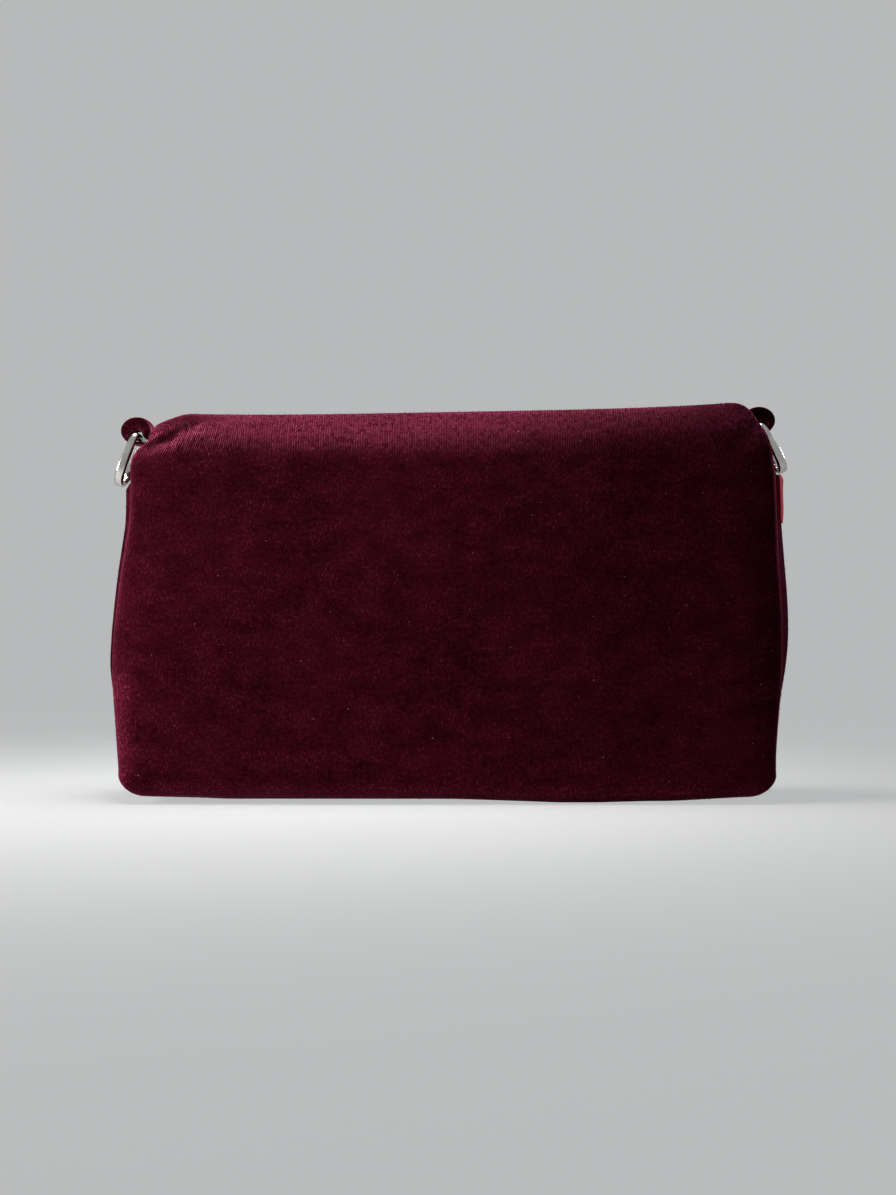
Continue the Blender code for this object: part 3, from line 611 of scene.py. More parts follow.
def satin_distance(below):
    """The same rule for its lining, which leaves room for the tab's legs."""
    def distance(half, z, t):
        ripple = SATIN_RIPPLE * (1 + np.sin(90 * z + 4 * t)) * (1 - t * t)
        return half - TUCK - VELVET - LEG_ROOM - below - ripple
    return distance


sides, side_faces = {}, {}
for side, word in SIDES.items():
    outer, flat = side_grid(side, SEAM_DEPTH, velvet_distance(side, 0.0), SIDE_COLUMNS)
    inner, _ = side_grid(side, SEAM_DEPTH, velvet_distance(side, VELVET), SIDE_COLUMNS)
    sides[word], side_faces[word] = cloth_sheet("velvet_side_" + word, outer, inner, flat), outer
    outer, flat = side_grid(side, STACK + PLY_GAP, satin_distance(0.0), SATIN_COLUMNS)
    inner, _ = side_grid(side, STACK + PLY_GAP, satin_distance(LINING), SATIN_COLUMNS)
    sides["satin_" + word] = cloth_sheet("satin_side_" + word, outer, inner, flat)
print("sides:", {k: len(o.data.polygons) for k, o in sides.items()})

# %% [markdown]
# ## The tabs
# A narrow strip of doubled velvet goes round the bar of each ring, and both its ends are sewn in
# behind the top of the gusset. In the photograph it stands up as a round, plump loop over the
# corner. It is a line in the x and z plane, swept along y with a plump section, so that the edges
# of the strip look turned and not cut.
# %% The line of a tab
TAB_PLY, TAB_WIDTH, TAB_LEG, LEG_GAP = 0.0012, 0.011, 0.0050, 0.0007
LOOP_INSET, LOOP_ABOVE, LOOP_RADIUS_X, LOOP_RADIUS_Z = 0.0024, 0.0155, 0.0060, 0.0052
LOOP_X, LOOP_Z, RING_Y = SHOULDER_HALF - LOOP_INSET, GUSSET_TOP + LOOP_ABOVE, -0.0005
LOOP_FILL, CROWN_FILL, FILL_GAP = 0.0030, 0.0010, 0.0005    # how the doubled velvet fills its own loop
TAB_PLUMP, LOOP_SKEW = 0.0002, 0.04                         # its fuller outside, and the loop's slant
WIRE, RING_SEAT = 0.0030, 0.0003
RING_DROP = LOOP_RADIUS_Z - TAB_PLY - WIRE / 2 - RING_SEAT


def curve(a, b, c, d, steps):
    """Points along one Bezier curve, without its first."""
    t = (np.arange(1, steps + 1) / steps)[:, None]
    return a * (1 - t) ** 3 + b * 3 * t * (1 - t) ** 2 + c * 3 * t * t * (1 - t) + d * t ** 3


def tab_leg(side, offset):
    """Points up one leg of the tab, inside the gusset."""
    z = GUSSET_TOP - TAB_LEG * (1 - np.linspace(0, 1, 7))
    near = 0.0002
    here, above = (side_face(side, half_width(h), h, TUCK_FLAT) - VELVET for h in (z, z + near))
    slope = (above - here) / near
    length = np.hypot(slope, 1)
    return np.stack([here - offset / length, z + offset * slope / length], -1)


def tab_line(side):
    """The middle line of the tab: up the inner leg, over and round the loop, down the outer leg."""
    centre = np.array([LOOP_X, LOOP_Z])
    a, b = LOOP_RADIUS_X - TAB_PLY / 2, LOOP_RADIUS_Z - TAB_PLY / 2
    outer, inner = tab_leg(side, LEG_GAP + TAB_PLY / 2), tab_leg(side, LEG_GAP + PLY_GAP + TAB_PLY * 1.5)
    crown, under = centre + (-a * 0.25, b * 0.97), centre + (-a * 0.25, -b * 0.97)
    rise, width = crown[1] - inner[-1][1], crown[0] - inner[-1][0]
    fall = under[1] - outer[-1][1]
    angle = np.radians(104 - 208 * np.arange(1, 24) / 24)
    loop = centre + np.stack([a * np.cos(angle), b * np.sin(angle)], -1)
    bulge = crown + (-1.3 * width, -0.04 * rise)
    up = curve(inner[-1], inner[-1] + (-0.25 * width, 0.5 * rise), bulge, crown, 16)
    down = curve(under, under + (-0.45 * a, 0.0), outer[-1] + (0.0, 0.45 * fall), outer[-1], 9)
    return np.vstack([inner, up, loop, down[:-1], outer[::-1]])


print("length of a tab's line:", round(float(along(tab_line(1))[-1]) * 1000, 1), "mm")

# %% [markdown]
# The section is swept along that line. Inside the loop the doubled velvet swells until it meets
# the ring's bar, so the loop looks stuffed and only a dark hollow is left round the bar.
# %% The tabs
def tube_faces(rows, count, closed=False):
    """Faces between rings of points, row after row; closed joins the last row to the first."""
    faces = []
    for i in range(rows if closed else rows - 1):
        here, after = i * count, (i + 1) % rows * count
        for j in range(count):
            k = (j + 1) % count
            faces.append((here + j, here + k, after + k, after + j))
    return faces


def velvet_tab(side, word):
    """A tab with a plump section: thin at its turned edges and full between them."""
    line = tab_line(side)
    step = np.gradient(line, axis=0)
    step /= np.linalg.norm(step, axis=1)[:, None]
    normal = np.stack([-step[:, 1], step[:, 0]], -1)
    above_gusset, above_loop = line[:, 1] - GUSSET_TOP, line[:, 1] - LOOP_Z
    free = ramp(above_gusset, 0.0, 0.004)
    room = np.hypot(line[:, 0] - LOOP_X, above_loop + RING_DROP) - TAB_PLY / 2 - WIRE / 2 - FILL_GAP
    most = LOOP_FILL + CROWN_FILL * ramp(above_loop, 0.0, 0.004)
    fill = np.clip(room, 0, most) * ramp(above_loop, -0.0045, -0.0015)
    ring = np.radians(np.arange(0, 360, 15))
    wide = np.sign(np.cos(ring)) * np.abs(np.cos(ring)) ** 0.55 * TAB_WIDTH / 2
    thick = np.sign(np.sin(ring)) * np.abs(np.sin(ring)) ** 0.8
    outward = TAB_PLY / 2 + TAB_PLUMP * free
    under = TAB_PLY / 2 + fill
    grow = np.where(thick > 0, outward[:, None] * thick, under[:, None] * thick)
    lift = float(neat_settle(side * LOOP_X, 0.0, TOP_HEIGHT)[2]) - TOP_HEIGHT
    y = np.broadcast_to(RING_Y + wide, grow.shape)
    x = (line[:, 0, None] + normal[:, 0, None] * grow - LOOP_SKEW * free[:, None] * wide) * side
    z = line[:, 1, None] + normal[:, 1, None] * grow + lift
    rows, count = x.shape
    faces = tube_faces(rows, count)
    faces += [tuple(range(count)), tuple(range((rows - 1) * count, rows * count))]
    flat = np.stack([y, np.broadcast_to(along(line)[:, None], x.shape)], -1)
    return add_piece("velvet_tab_" + word, np.stack([x, y, z], -1), faces, flat)


tabs = {word: velvet_tab(side, word) for side, word in SIDES.items()}
print("tabs:", {k: len(o.data.polygons) for k, o in tabs.items()})

# %% [markdown]
# ## The D-rings
# Each ring is bent from round wire: a straight bar inside the tab and a bow that hangs out over
# the gusset. Polishing leaves the bow a little flattened. It is a closed sweep round the D, with
# many sides, because a mirror finish shows every facet.
# %% The D-rings
RING_WIDTH, RING_LENGTH, RING_CORNER, BAR_MIDDLE = 0.0190, 0.0220, 0.0022, 0.0029
RING_TILT, RING_TURN = {-1: 22.5, 1: 30.0}, 2.5            # in degrees, outward and about the upright
BOW_WIDER, BOW_THINNER = 0.16, 0.10                        # how a polished bow differs from round wire


def d_line():
    """The closed middle line of the D in its own plane: bar along y at height 0, bow below."""
    half = (RING_WIDTH - WIRE) / 2
    drop = RING_LENGTH - WIRE - half
    quarter = np.radians(np.linspace(90, 0, 9))
    corner = RING_CORNER * np.stack([np.cos(quarter), np.sin(quarter)], -1)
    corner = corner + (half - RING_CORNER, -RING_CORNER)
    bow = np.pi * np.linspace(0, 1, 49)
    bow = np.stack([half * np.cos(bow), -drop - half * np.sin(bow)], -1)
    bar = [[-BAR_MIDDLE, 0], [0, 0], [BAR_MIDDLE, 0]]
    return np.vstack([corner, bow, (corner * (-1, 1))[::-1], bar])


def d_ring(side, word):
    """One polished ring, hanging from its tab and leaning out over the gusset."""
    line = d_line()
    step = np.roll(line, -1, 0) - np.roll(line, 1, 0)
    step /= np.linalg.norm(step, axis=1)[:, None]
    normal = np.stack([-step[:, 1], step[:, 0]], -1)
    free = ramp(-line[:, 1], 0.0015, 0.0045)[:, None]
    ring = np.radians(np.arange(0, 360, 15))
    flat_x = np.sign(np.cos(ring)) * np.abs(np.cos(ring)) ** 0.50
    flat_y = np.sign(np.sin(ring)) * np.abs(np.sin(ring)) ** 0.66
    across = (np.cos(ring) + (flat_x - np.cos(ring)) * free) * WIRE / 2 * (1 + BOW_WIDER * free)
    outward = (np.sin(ring) + (flat_y - np.sin(ring)) * free) * WIRE / 2 * (1 - BOW_THINNER * free)
    y = line[:, 0, None] + normal[:, 0, None] * outward
    z = line[:, 1, None] + normal[:, 1, None] * outward
    points = np.stack([across, y, z], -1).reshape(-1, 3)
    lean = Euler((0.0, -side * math.radians(RING_TILT[side]), 0.0)).to_matrix()
    turn = Euler((0.0, 0.0, side * math.radians(RING_TURN))).to_matrix()
    place = np.array(neat_settle(side * LOOP_X, RING_Y, LOOP_Z - RING_DROP), float)
    points = points @ np.array(turn @ lean).T + place
    return add_piece("polished_ring_" + word, points, tube_faces(len(line), len(ring), closed=True))


rings = {word: d_ring(side, word) for side, word in SIDES.items()}
for word, ring in rings.items():
    print(word, "ring from and to, mm:", np.round(np.array(ring.bound_box)[[0, 6]] * 1000, 1).tolist())

# %% [markdown]
# ## The red ribbon
# At the right, a sliver of bright red satin shows behind the edge of the back panel. It is read
# as a short folded ribbon that is caught in the side seam and lies back over the gusset.
# %% The red ribbon
RIBBON_HEIGHT, RIBBON_BELOW, RIBBON_PLY, RIBBON_REACH = 0.0177, 0.0058, 0.0004, 0.0065
RIBBON_STAND, RIBBON_TAPER, RIBBON_WAVE = 0.0004, 0.0016, 0.00022


def satin_ribbon():
    """The folded ribbon, swept upward along the seam."""
    high = GUSSET_TOP - RIBBON_BELOW
    fold = RIBBON_PLY * 1.5 + PLY_GAP
    t = np.linspace(0, 1, 15)
    out = np.stack([RIBBON_STAND * np.sin(t * math.pi * 0.55), RIBBON_REACH * t], -1)
    bend = np.radians(90 - np.linspace(0, 180, 9)[1:-1])
    round_ = out[-1] + np.stack([-fold / 2 + fold / 2 * np.sin(bend), fold / 2 * np.cos(bend)], -1)
    line = np.vstack([out, round_, out[::-1] - (fold, 0)])
    step = np.gradient(line, axis=0)
    step /= np.linalg.norm(step, axis=1)[:, None]
    normal = np.stack([-step[:, 1], step[:, 0]], -1) * RIBBON_PLY / 2
    levels = np.linspace(high - RIBBON_HEIGHT, high, 19)
    back, front = rail("back", levels), rail("front", levels)
    start = back[:, 0] + back[:, 2] * SEAM_DEPTH
    depth = front[:, 0] + front[:, 2] * SEAM_DEPTH - start
    grids = []
    for sign in (1, -1):
        p = line + normal * sign
        share = (high - levels)[:, None] / RIBBON_HEIGHT
        wave = RIBBON_WAVE * np.sin(levels * 420)[:, None] * (p[:, 1] / RIBBON_REACH)
        x = p[:, 0] - RIBBON_TAPER * share * p[:, 1] / RIBBON_REACH + wave
        face = side_face(1, half_width(levels)[:, None], levels[:, None], 2 * p[:, 1] / depth[:, None] - 1)
        out = face + PLY_GAP + RIBBON_PLY / 2 + fold + x
        grids.append(settled(out, start[:, None] + p[:, 1], levels[:, None] + 0 * x))
    flat = np.stack(np.broadcast_arrays(along(line)[None, :], levels[:, None]), -1)
    return cloth_sheet("satin_ribbon", grids[0], grids[1], flat)


ribbon = satin_ribbon()
print("ribbon:", len(ribbon.data.polygons), "faces")

# %% [markdown]
# ## Writing materials as sums
# A material is a small network of nodes. Written out link by link it is hard to read, so one
# class wraps a socket and lets it be added and multiplied in Python: each sum adds its Math node.
# Colours go through Mix nodes, because a Math node would turn them grey.
# %% Wires
class Wire:
    """A socket of a material that can be used in sums."""

    def __init__(self, finish, socket):
        self.finish, self.socket = finish, socket

    def sum_node(self, operation, *values, clamp=False):
        return self.finish.node("ShaderNodeMath", {"operation": operation, "use_clamp": clamp},
                                dict(enumerate((self, *values))))

    def __add__(self, other): return self.sum_node("ADD", other)
    def __sub__(self, other): return self.sum_node("SUBTRACT", other)
    def __mul__(self, other): return self.sum_node("MULTIPLY", other)
    def __rsub__(self, other): return self * -1.0 + other
    __radd__, __rmul__ = __add__, __mul__

    def wave(self): return self.sum_node("SINE")
    def capped(self): return self.sum_node("ADD", 0.0, clamp=True)

    def between(self, low, high, to=(0.0, 1.0)):
        """Stretches the part of the value from low to high over the span to, softly."""
        spans = {"Value": self, "From Min": low, "From Max": high, "To Min": to[0], "To Max": to[1]}
        return self.finish.node("ShaderNodeMapRange", {"interpolation_type": "SMOOTHSTEP"}, spans)


print("a wire can be used in:", [name for name in ("__add__", "__sub__", "__mul__") if hasattr(Wire, name)])

# %% [markdown]
# The second class holds one material while it is made. It adds any node in one call: first the
# settings, then the values or wires of the sockets. The few nodes that all finishes here share,
# such as clouds of noise and bumps, get a short name of their own.
# %% Finishes
class Finish:
    """One material in the making, or the nodes of a tree that is there already."""

    def __init__(self, name, tree=None):
        self.tree = tree
        if tree is None:
            self.material = bpy.data.materials.new(name)
            self.material.use_nodes = True
            self.tree = self.material.node_tree
            self.tree.nodes.clear()

    def node(self, kind, settings=None, inputs=None, out=0):
        """Any node: its settings first, then the values or wires of its sockets."""
        node = self.tree.nodes.new(kind)
        for key, value in (settings or {}).items():
            setattr(node, key, value)
        for key, value in (inputs or {}).items():
            socket = node.inputs[key]
            if isinstance(value, Wire):
                self.tree.links.new(value.socket, socket)
            else:
                socket.default_value = value
        return Wire(self, node.outputs[out])

    def blend(self, share, first, second, kind="MIX"):
        """Two colours mixed by a share."""
        def full(c):
            return c if isinstance(c, Wire) else (*c, 1.0)
        return self.node("ShaderNodeMix", {"data_type": "RGBA", "blend_type": kind},
                         {0: share, 6: full(first), 7: full(second)}, out=2)

    def noise(self, place, scale, detail=2.0, rough=0.5):
        """Cloudy values from 0 to 1, with features of about 1 / scale metres."""
        inputs = {"Vector": place, "Scale": scale, "Detail": detail, "Roughness": rough}
        return self.node("ShaderNodeTexNoise", {}, inputs)

    def stretched(self, place, scale):
        """A place stretched by a factor along each axis."""
        return self.node("ShaderNodeVectorMath", {"operation": "MULTIPLY"}, {0: place, 1: scale})

    def cloth_place(self):
        """Place on the flat cloth, in metres."""
        return self.node("ShaderNodeUVMap", {"uv_map": "cloth"})

    def along_axis(self, place, axis):
        """One number of a place: 0 for x, 1 for y, 2 for z."""
        return self.node("ShaderNodeSeparateXYZ", {}, {0: place}, out=axis)

    def own_place(self):
        """Place in the part's own frame, in metres."""
        return self.node("ShaderNodeTexCoord", {}, out=3)

    def bump(self, height, distance, strength=1.0, under=None):
        """A normal raised by a height from 0 to 1, over a distance in metres."""
        inputs = {"Height": height, "Distance": distance, "Strength": strength}
        if under is not None:
            inputs["Normal"] = under
        return self.node("ShaderNodeBump", {}, inputs)

    def finish(self, **inputs):
        """The shader itself; keyword names stand for its sockets, with spaces as underscores."""
        values = {name.replace("_", " "): value for name, value in inputs.items()}
        shader = self.node("ShaderNodeBsdfPrincipled", {}, values)
        output = self.tree.nodes.new("ShaderNodeOutputMaterial")
        self.tree.links.new(shader.socket, output.inputs["Surface"])
        return self.material


print("a finish can add:", [name for name in vars(Finish) if not name.startswith("_")])

# %% [markdown]
# ## Velvet
# Velvet is a knitted ground with a short, dense pile. Looked at straight on, the pile swallows
# light and the colour is deep; along an edge the fibres catch it and the colour turns pink. That
# edge light is the shader's sheen. What the photograph shows on top of it is worked into colour
# and bump: the fine upright ribs of the knit, clumps of pile and wider clouds where a hand has
# brushed the pile one way or the other. The top band and the lower edges are painted paler, as
# painted light from the lamp above, from the floor and from the left.
# %% The velvet
RIB_PITCH = 0.00093                        # from one upright rib of the knit to the next
# The top band, between these heights, is painted paler where it faces the lamp above. The base edge, and the
# low left edge at this place, are painted paler where light from the floor and from the left falls on them.
BAND_Z, TABLE_Z = (0.1290, 0.1345), (0.0095, 0.0010)
LIT_EDGE_X, LIT_EDGE_Z = (-0.1160, -0.1235), (0.062, 0.036)
DEEP, BRIGHT, SPECK = (0.0160, 0.0006, 0.0022), (0.100, 0.0062, 0.0190), (0.26, 0.030, 0.072)


def velvet(name, sheen):
    """Burgundy velvet: knit, clumps of pile, clouds and painted highlights on the top band and lower edges,
    under its sheen.
    """
    f = Finish(name)
    place = f.cloth_place()
    u, x, z = f.along_axis(place, 0), f.along_axis(f.own_place(), 0), f.along_axis(f.own_place(), 2)
    # Masks of painted light: the top band, and the base edge together with the low left edge.
    high = z.between(*BAND_Z)
    painted_edge_light = z.between(*TABLE_Z) * 0.9 + x.between(*LIT_EDGE_X) * z.between(*LIT_EDGE_Z)
    # The knit's ribs show mostly on the top band, where the nap is parted over the roll; their stronger
    # contrast there also stands for light raking across the band.
    ribs = high * 0.92 + 0.08
    wobble = f.noise(place, 90.0, 2.0) * 2.6
    rib = (u * (2 * math.pi / RIB_PITCH) + wobble).wave() * 0.5 + 0.5
    broken = f.noise(f.stretched(place, (1.0, 0.42, 1.0)), 700.0, 3.0, 0.7).between(0.38, 0.60)
    rib = rib * (broken * 0.75 + 0.25)
    clouds = f.noise(place, 24.0, 3.0, 0.55)
    patches = f.noise(f.stretched(place, (0.8, 1.1, 1.0)), 105.0, 5.0, 0.68)
    clumps = f.noise(place, 560.0, 3.0, 0.70)
    grain = f.noise(f.stretched(place, (1.0, 0.60, 1.0)), 1150.0, 2.0, 0.6)
    # Pale specks come more often on the painted-lit top band and lower edges.
    often = patches.between(0.40, 0.64) * 0.75 + 0.15 + high * 0.20 + painted_edge_light * 1.5
    speck = grain.between(0.48, 0.70) * often
    level = clouds.between(0.34, 0.68) * 0.16 + patches.between(0.36, 0.66) * 0.20
    level = level + clumps.between(0.36, 0.66) * 0.24
    # Painted highlight: the top band and the lower edges are made paler here.
    level = level + (rib - 0.3) * ribs * 0.58 + high * 0.13 + painted_edge_light * 0.34
    colour = f.blend(level.capped(), DEEP, BRIGHT)
    colour = f.blend(speck * 0.34, colour, SPECK)
    height = rib * ribs * 1.1 + clumps * 0.45 + grain * 0.40
    wide = f.bump(patches, 0.0012, 0.6)
    normal = f.bump(height, 0.00060, 1.0, under=wide)
    return f.finish(Base_Color=colour, Roughness=0.93, Normal=normal, Sheen_Weight=sheen,
                    Sheen_Roughness=0.38, Sheen_Tint=(1.0, 0.17, 0.36, 1.0), Specular_IOR_Level=0.0)


VELVET_FINISH = velvet("burgundy velvet", 0.62)
# The sides get a copy of the velvet with less sheen, so they look darker: painted shade, which partly stands
# for the pile being turned away there.
DARKENED_SIDE_FINISH = velvet("burgundy velvet, less sheen, painted shade on the sides", 0.20)
for piece in (shell, *tabs.values()):
    piece.data.materials.append(VELVET_FINISH)
for word in SIDES.values():
    sides[word].data.materials.append(DARKENED_SIDE_FINISH)
print("velvet nodes:", len(VELVET_FINISH.node_tree.nodes))


# %% [markdown]
# ## Loose pile and lint
# Bump alone leaves the outline of velvet as smooth as paper. So fibres that have worked loose are
# set on it as real, tiny closed spikes that lean with the nap, and a few pale flecks of lint cling
# to them, as the photograph shows. Geometry Nodes scatter both from one seed, because tens of
# thousands of fibres placed one by one in a loop would take minutes.
# %% Surfaces to scatter on
CLEAR_OF_TABLE = 0.0014


def open_face(grid, outward):
    """A grid of points as a bare surface whose normals point outward, without what stands on the table."""
    rows, columns = grid.shape[:2]
    index = np.arange(rows * columns).reshape(rows, columns)
    corners = index[:-1, :-1], index[:-1, 1:], index[1:, 1:], index[1:, :-1]
    faces = np.stack([corner.ravel() for corner in corners], 1)
    middle = grid[rows // 2, columns // 2]
    normal = np.cross(grid[rows // 2, columns // 2 + 1] - middle, grid[rows // 2 + 1, columns // 2] - middle)
    if np.dot(normal, outward(middle)) < 0:
        faces = faces[:, ::-1]
    faces = faces[grid.reshape(-1, 3)[faces, 2].max(1) > CLEAR_OF_TABLE]
    mesh = bpy.data.meshes.new("bare_face")
    mesh.from_pydata(grid.reshape(-1, 3).tolist(), [], faces.tolist())
    obj = bpy.data.objects.new("bare_face", mesh)
    scene.collection.objects.link(obj)
    return obj


bare = [open_face(shell_face, lambda p: (0.0, p[1], p[2] - TOP_HEIGHT / 2))]
bare_sides = [open_face(side_faces[word], lambda p: (p[0], 0.0, 0.0)) for word in ("left", "right")]
print("bare faces:", [len(o.data.polygons) for o in bare + bare_sides])

# %% [markdown]
# The tree itself is short. Points are strewn on the surface; each gets a turn about its normal
# and then a lean away from it; one small cone or ball is set on every point; and the result is
# made real, because copies that are only referred to would be lost on the way out of Blender.
# %% The scattering tree
LEAST_SIZE, MOST_SIZE, TURN_SEED, SIZE_SEED = 0.55, 1.35, 7, 11
TREE_INPUTS = (("Surface", "Geometry"), ("Density", "Float"), ("Seed", "Int"),
               ("Least lean", "Float"), ("Most lean", "Float"))


def scatter_tree(name, shape, material):
    """A tree that sets copies of a small closed shape on a surface, leaning at random."""
    tree = bpy.data.node_groups.new(name, "GeometryNodeTree")
    for label, kind in TREE_INPUTS:
        tree.interface.new_socket(label, in_out="INPUT", socket_type="NodeSocket" + kind)
    tree.interface.new_socket("Result", in_out="OUTPUT", socket_type="NodeSocketGeometry")

    def node(kind, inputs=None, **settings):
        made = tree.nodes.new(kind)
        for key, value in settings.items():
            setattr(made, key, value)
        for key, value in (inputs or {}).items():
            if isinstance(value, bpy.types.NodeSocket):
                tree.links.new(value, made.inputs[key])
            else:
                made.inputs[key].default_value = value
        return made

    def chance(low, high, seed):
        made = node("FunctionNodeRandomValue", {2: low, 3: high, "Seed": seed}, data_type="FLOAT")
        return next(o for o in made.outputs if o.name == "Value" and o.enabled)

    def turned_by(rotation, axis, angle):
        turn = node("FunctionNodeAxisAngleToRotation", {"Axis": axis, "Angle": angle}).outputs[0]
        return node("FunctionNodeRotateRotation", {0: rotation, 1: turn}, rotation_space="LOCAL").outputs[0]

    given = node("NodeGroupInput").outputs
    spread = node("GeometryNodeDistributePointsOnFaces",
                  {"Mesh": given["Surface"], "Density": given["Density"], "Seed": given["Seed"]})
    lean = chance(given["Least lean"], given["Most lean"], given["Seed"])
    turned = turned_by(spread.outputs["Rotation"], (0.0, 0.0, 1.0), chance(0.0, 2 * math.pi, TURN_SEED))
    leaning = turned_by(turned, (1.0, 0.0, 0.0), lean)
    small = node(*shape)
    copies = node("GeometryNodeInstanceOnPoints",
                  {"Points": spread.outputs["Points"], "Instance": small.outputs["Mesh"],
                   "Rotation": leaning, "Scale": chance(LEAST_SIZE, MOST_SIZE, SIZE_SEED)})
    real = node("GeometryNodeRealizeInstances", {"Geometry": copies.outputs[0]})
    coloured = node("GeometryNodeSetMaterial", {"Geometry": real.outputs[0], "Material": material})
    node("NodeGroupOutput", {"Result": coloured.outputs[0]})
    return tree


def scattered(name, surfaces, tree, density, seed, lean):
    """One piece with everything that the tree sets on the surfaces; lean is from and to, in degrees."""
    least, most = (math.radians(angle) for angle in lean)
    parts = []
    for k, surface in enumerate(surfaces):
        modifier = surface.modifiers.new("scatter", "NODES")
        modifier.node_group = tree
        values = {"Density": density, "Seed": seed + k, "Least lean": least, "Most lean": most}
        for item in tree.interface.items_tree:
            if item.in_out == "INPUT" and item.name in values:
                modifier[item.identifier] = values[item.name]
        ready = surface.evaluated_get(bpy.context.evaluated_depsgraph_get())
        parts.append(bpy.data.meshes.new_from_object(ready))
        surface.modifiers.clear()
    bm = bmesh.new()
    for mesh in parts:
        bm.from_mesh(mesh)
    mesh = parts[0]
    bm.to_mesh(mesh)
    bm.free()
    obj = bpy.data.objects.new(name, mesh)
    scene.collection.objects.link(obj)
    return obj


print("tree inputs:", [label for label, kind in TREE_INPUTS])

# %% [markdown]
# A fibre of pile is a three-sided cone and a fleck of lint a small ball. Most fibres lie nearly
# flat, as brushed pile does, so only some stand out past the bag's outline.
# %% Loose pile and lint
FIBRE_RADIUS, FIBRE_LENGTH, FLECK_RADIUS = 0.00006, 0.00075, 0.00014
PILE_DENSITY, LINT_DENSITY = 380000.0, 1900.0              # pieces in a square metre
PILE_SEED, SIDE_SEED, LINT_SEED = 3, 23, 41
PILE_LEAN, LINT_LEAN = (38.0, 84.0), (0.0, 90.0)


def fibre_finish(name, dark, light, sheen):
    """A matt fibre whose tone differs from place to place."""
    f = Finish(name)
    tone = f.noise(f.own_place(), 700.0, 2.0)
    return f.finish(Base_Color=f.blend(tone.between(0.35, 0.65), dark, light), Roughness=0.8,
                    Sheen_Weight=sheen, Sheen_Tint=(1.0, 0.25, 0.42, 1.0), Specular_IOR_Level=0.05)


PILE = fibre_finish("loose pile", (0.080, 0.004, 0.013), (0.230, 0.020, 0.055), 0.4)
LINT = fibre_finish("pale lint", (0.42, 0.30, 0.28), (0.70, 0.60, 0.55), 0.0)
spike = ("GeometryNodeMeshCone",
         {"Vertices": 3, "Radius Top": 0.0, "Radius Bottom": FIBRE_RADIUS, "Depth": FIBRE_LENGTH})
fleck = ("GeometryNodeMeshIcoSphere", {"Radius": FLECK_RADIUS, "Subdivisions": 1})
pile_tree, lint_tree = scatter_tree("scatter pile", spike, PILE), scatter_tree("scatter lint", fleck, LINT)
pile = scattered("loose_pile", bare, pile_tree, PILE_DENSITY, PILE_SEED, PILE_LEAN)
side_pile = scattered("side_pile", bare_sides, pile_tree, PILE_DENSITY, SIDE_SEED, PILE_LEAN)
lint = scattered("lint_flecks", bare, lint_tree, LINT_DENSITY, LINT_SEED, LINT_LEAN)
for obj in bare + bare_sides:
    bpy.data.objects.remove(obj)
print("faces:", {o.name: len(o.data.polygons) for o in (pile, side_pile, lint)})


# %% [markdown]
# ## Satin
# Satin is woven so that long threads float on its face. They all run one way, so the surface is
# smooth along them and finely grooved across them, which draws a highlight out into a band.
# %% The satin
def satin(name, deep, bright, roughness, gloss=0.5):
    """Satin with its threads along the cloth: fine grooves, thicker slubs and faint clouds."""
    f = Finish(name)
    place = f.cloth_place()
    threads = f.noise(f.stretched(place, (1.0, 0.05, 1.0)), 5200.0, 2.0)
    slubs = f.noise(f.stretched(place, (1.0, 0.08, 1.0)), 420.0, 2.0)
    clouds = f.noise(place, 60.0, 3.0)
    level = clouds.between(0.3, 0.7) * 0.6 + slubs * 0.3 + threads * 0.2
    rough = threads.between(0.3, 0.7, (roughness - 0.05, roughness + 0.08))
    normal = f.bump(threads * 0.6 + slubs * 0.4, 0.00012, 0.7)
    return f.finish(Base_Color=f.blend(level.capped(), deep, bright), Roughness=rough, Normal=normal,
                    Specular_IOR_Level=gloss, Sheen_Weight=0.10, Sheen_Tint=(1.0, 0.30, 0.36, 1.0))


SATIN_FINISH = satin("red satin lining", (0.26, 0.006, 0.018), (0.42, 0.016, 0.036), 0.36)
RIBBON_FINISH = satin("bright red ribbon", (0.52, 0.012, 0.034), (0.78, 0.045, 0.085), 0.45, 0.01)
for piece in (lining, sides["satin_left"], sides["satin_right"]):
    piece.data.materials.append(SATIN_FINISH)
ribbon.data.materials.append(RIBBON_FINISH)
print("satin finishes:", SATIN_FINISH.name, RIBBON_FINISH.name)


# %% [markdown]
# ## Metal and board
# The rings are plated with nickel: almost a mirror, warm grey, with hairlines and faint smears
# from handling. The boards and the magnets are out of sight, yet they get the finish that they
# have, dull pressed grey fibre and a turned zinc face.
# %% The metal and the boards
def nickel(name):
    """Nickel plate with smears from hands and fine hairlines."""
    f = Finish(name)
    place = f.own_place()
    smear = f.noise(place, 260.0, 3.0)
    hair = f.noise(f.stretched(place, (1.0, 1.0, 0.12)), 5200.0, 2.0)
    colour = f.blend(smear.between(0.3, 0.7), (0.58, 0.565, 0.535), (0.76, 0.745, 0.71))
    rough = (smear.between(0.35, 0.75) * 0.10 + hair.between(0.45, 0.75) * 0.07) + 0.11
    return f.finish(Base_Color=colour, Metallic=1.0, Roughness=rough, Normal=f.bump(hair, 0.00002, 0.35))


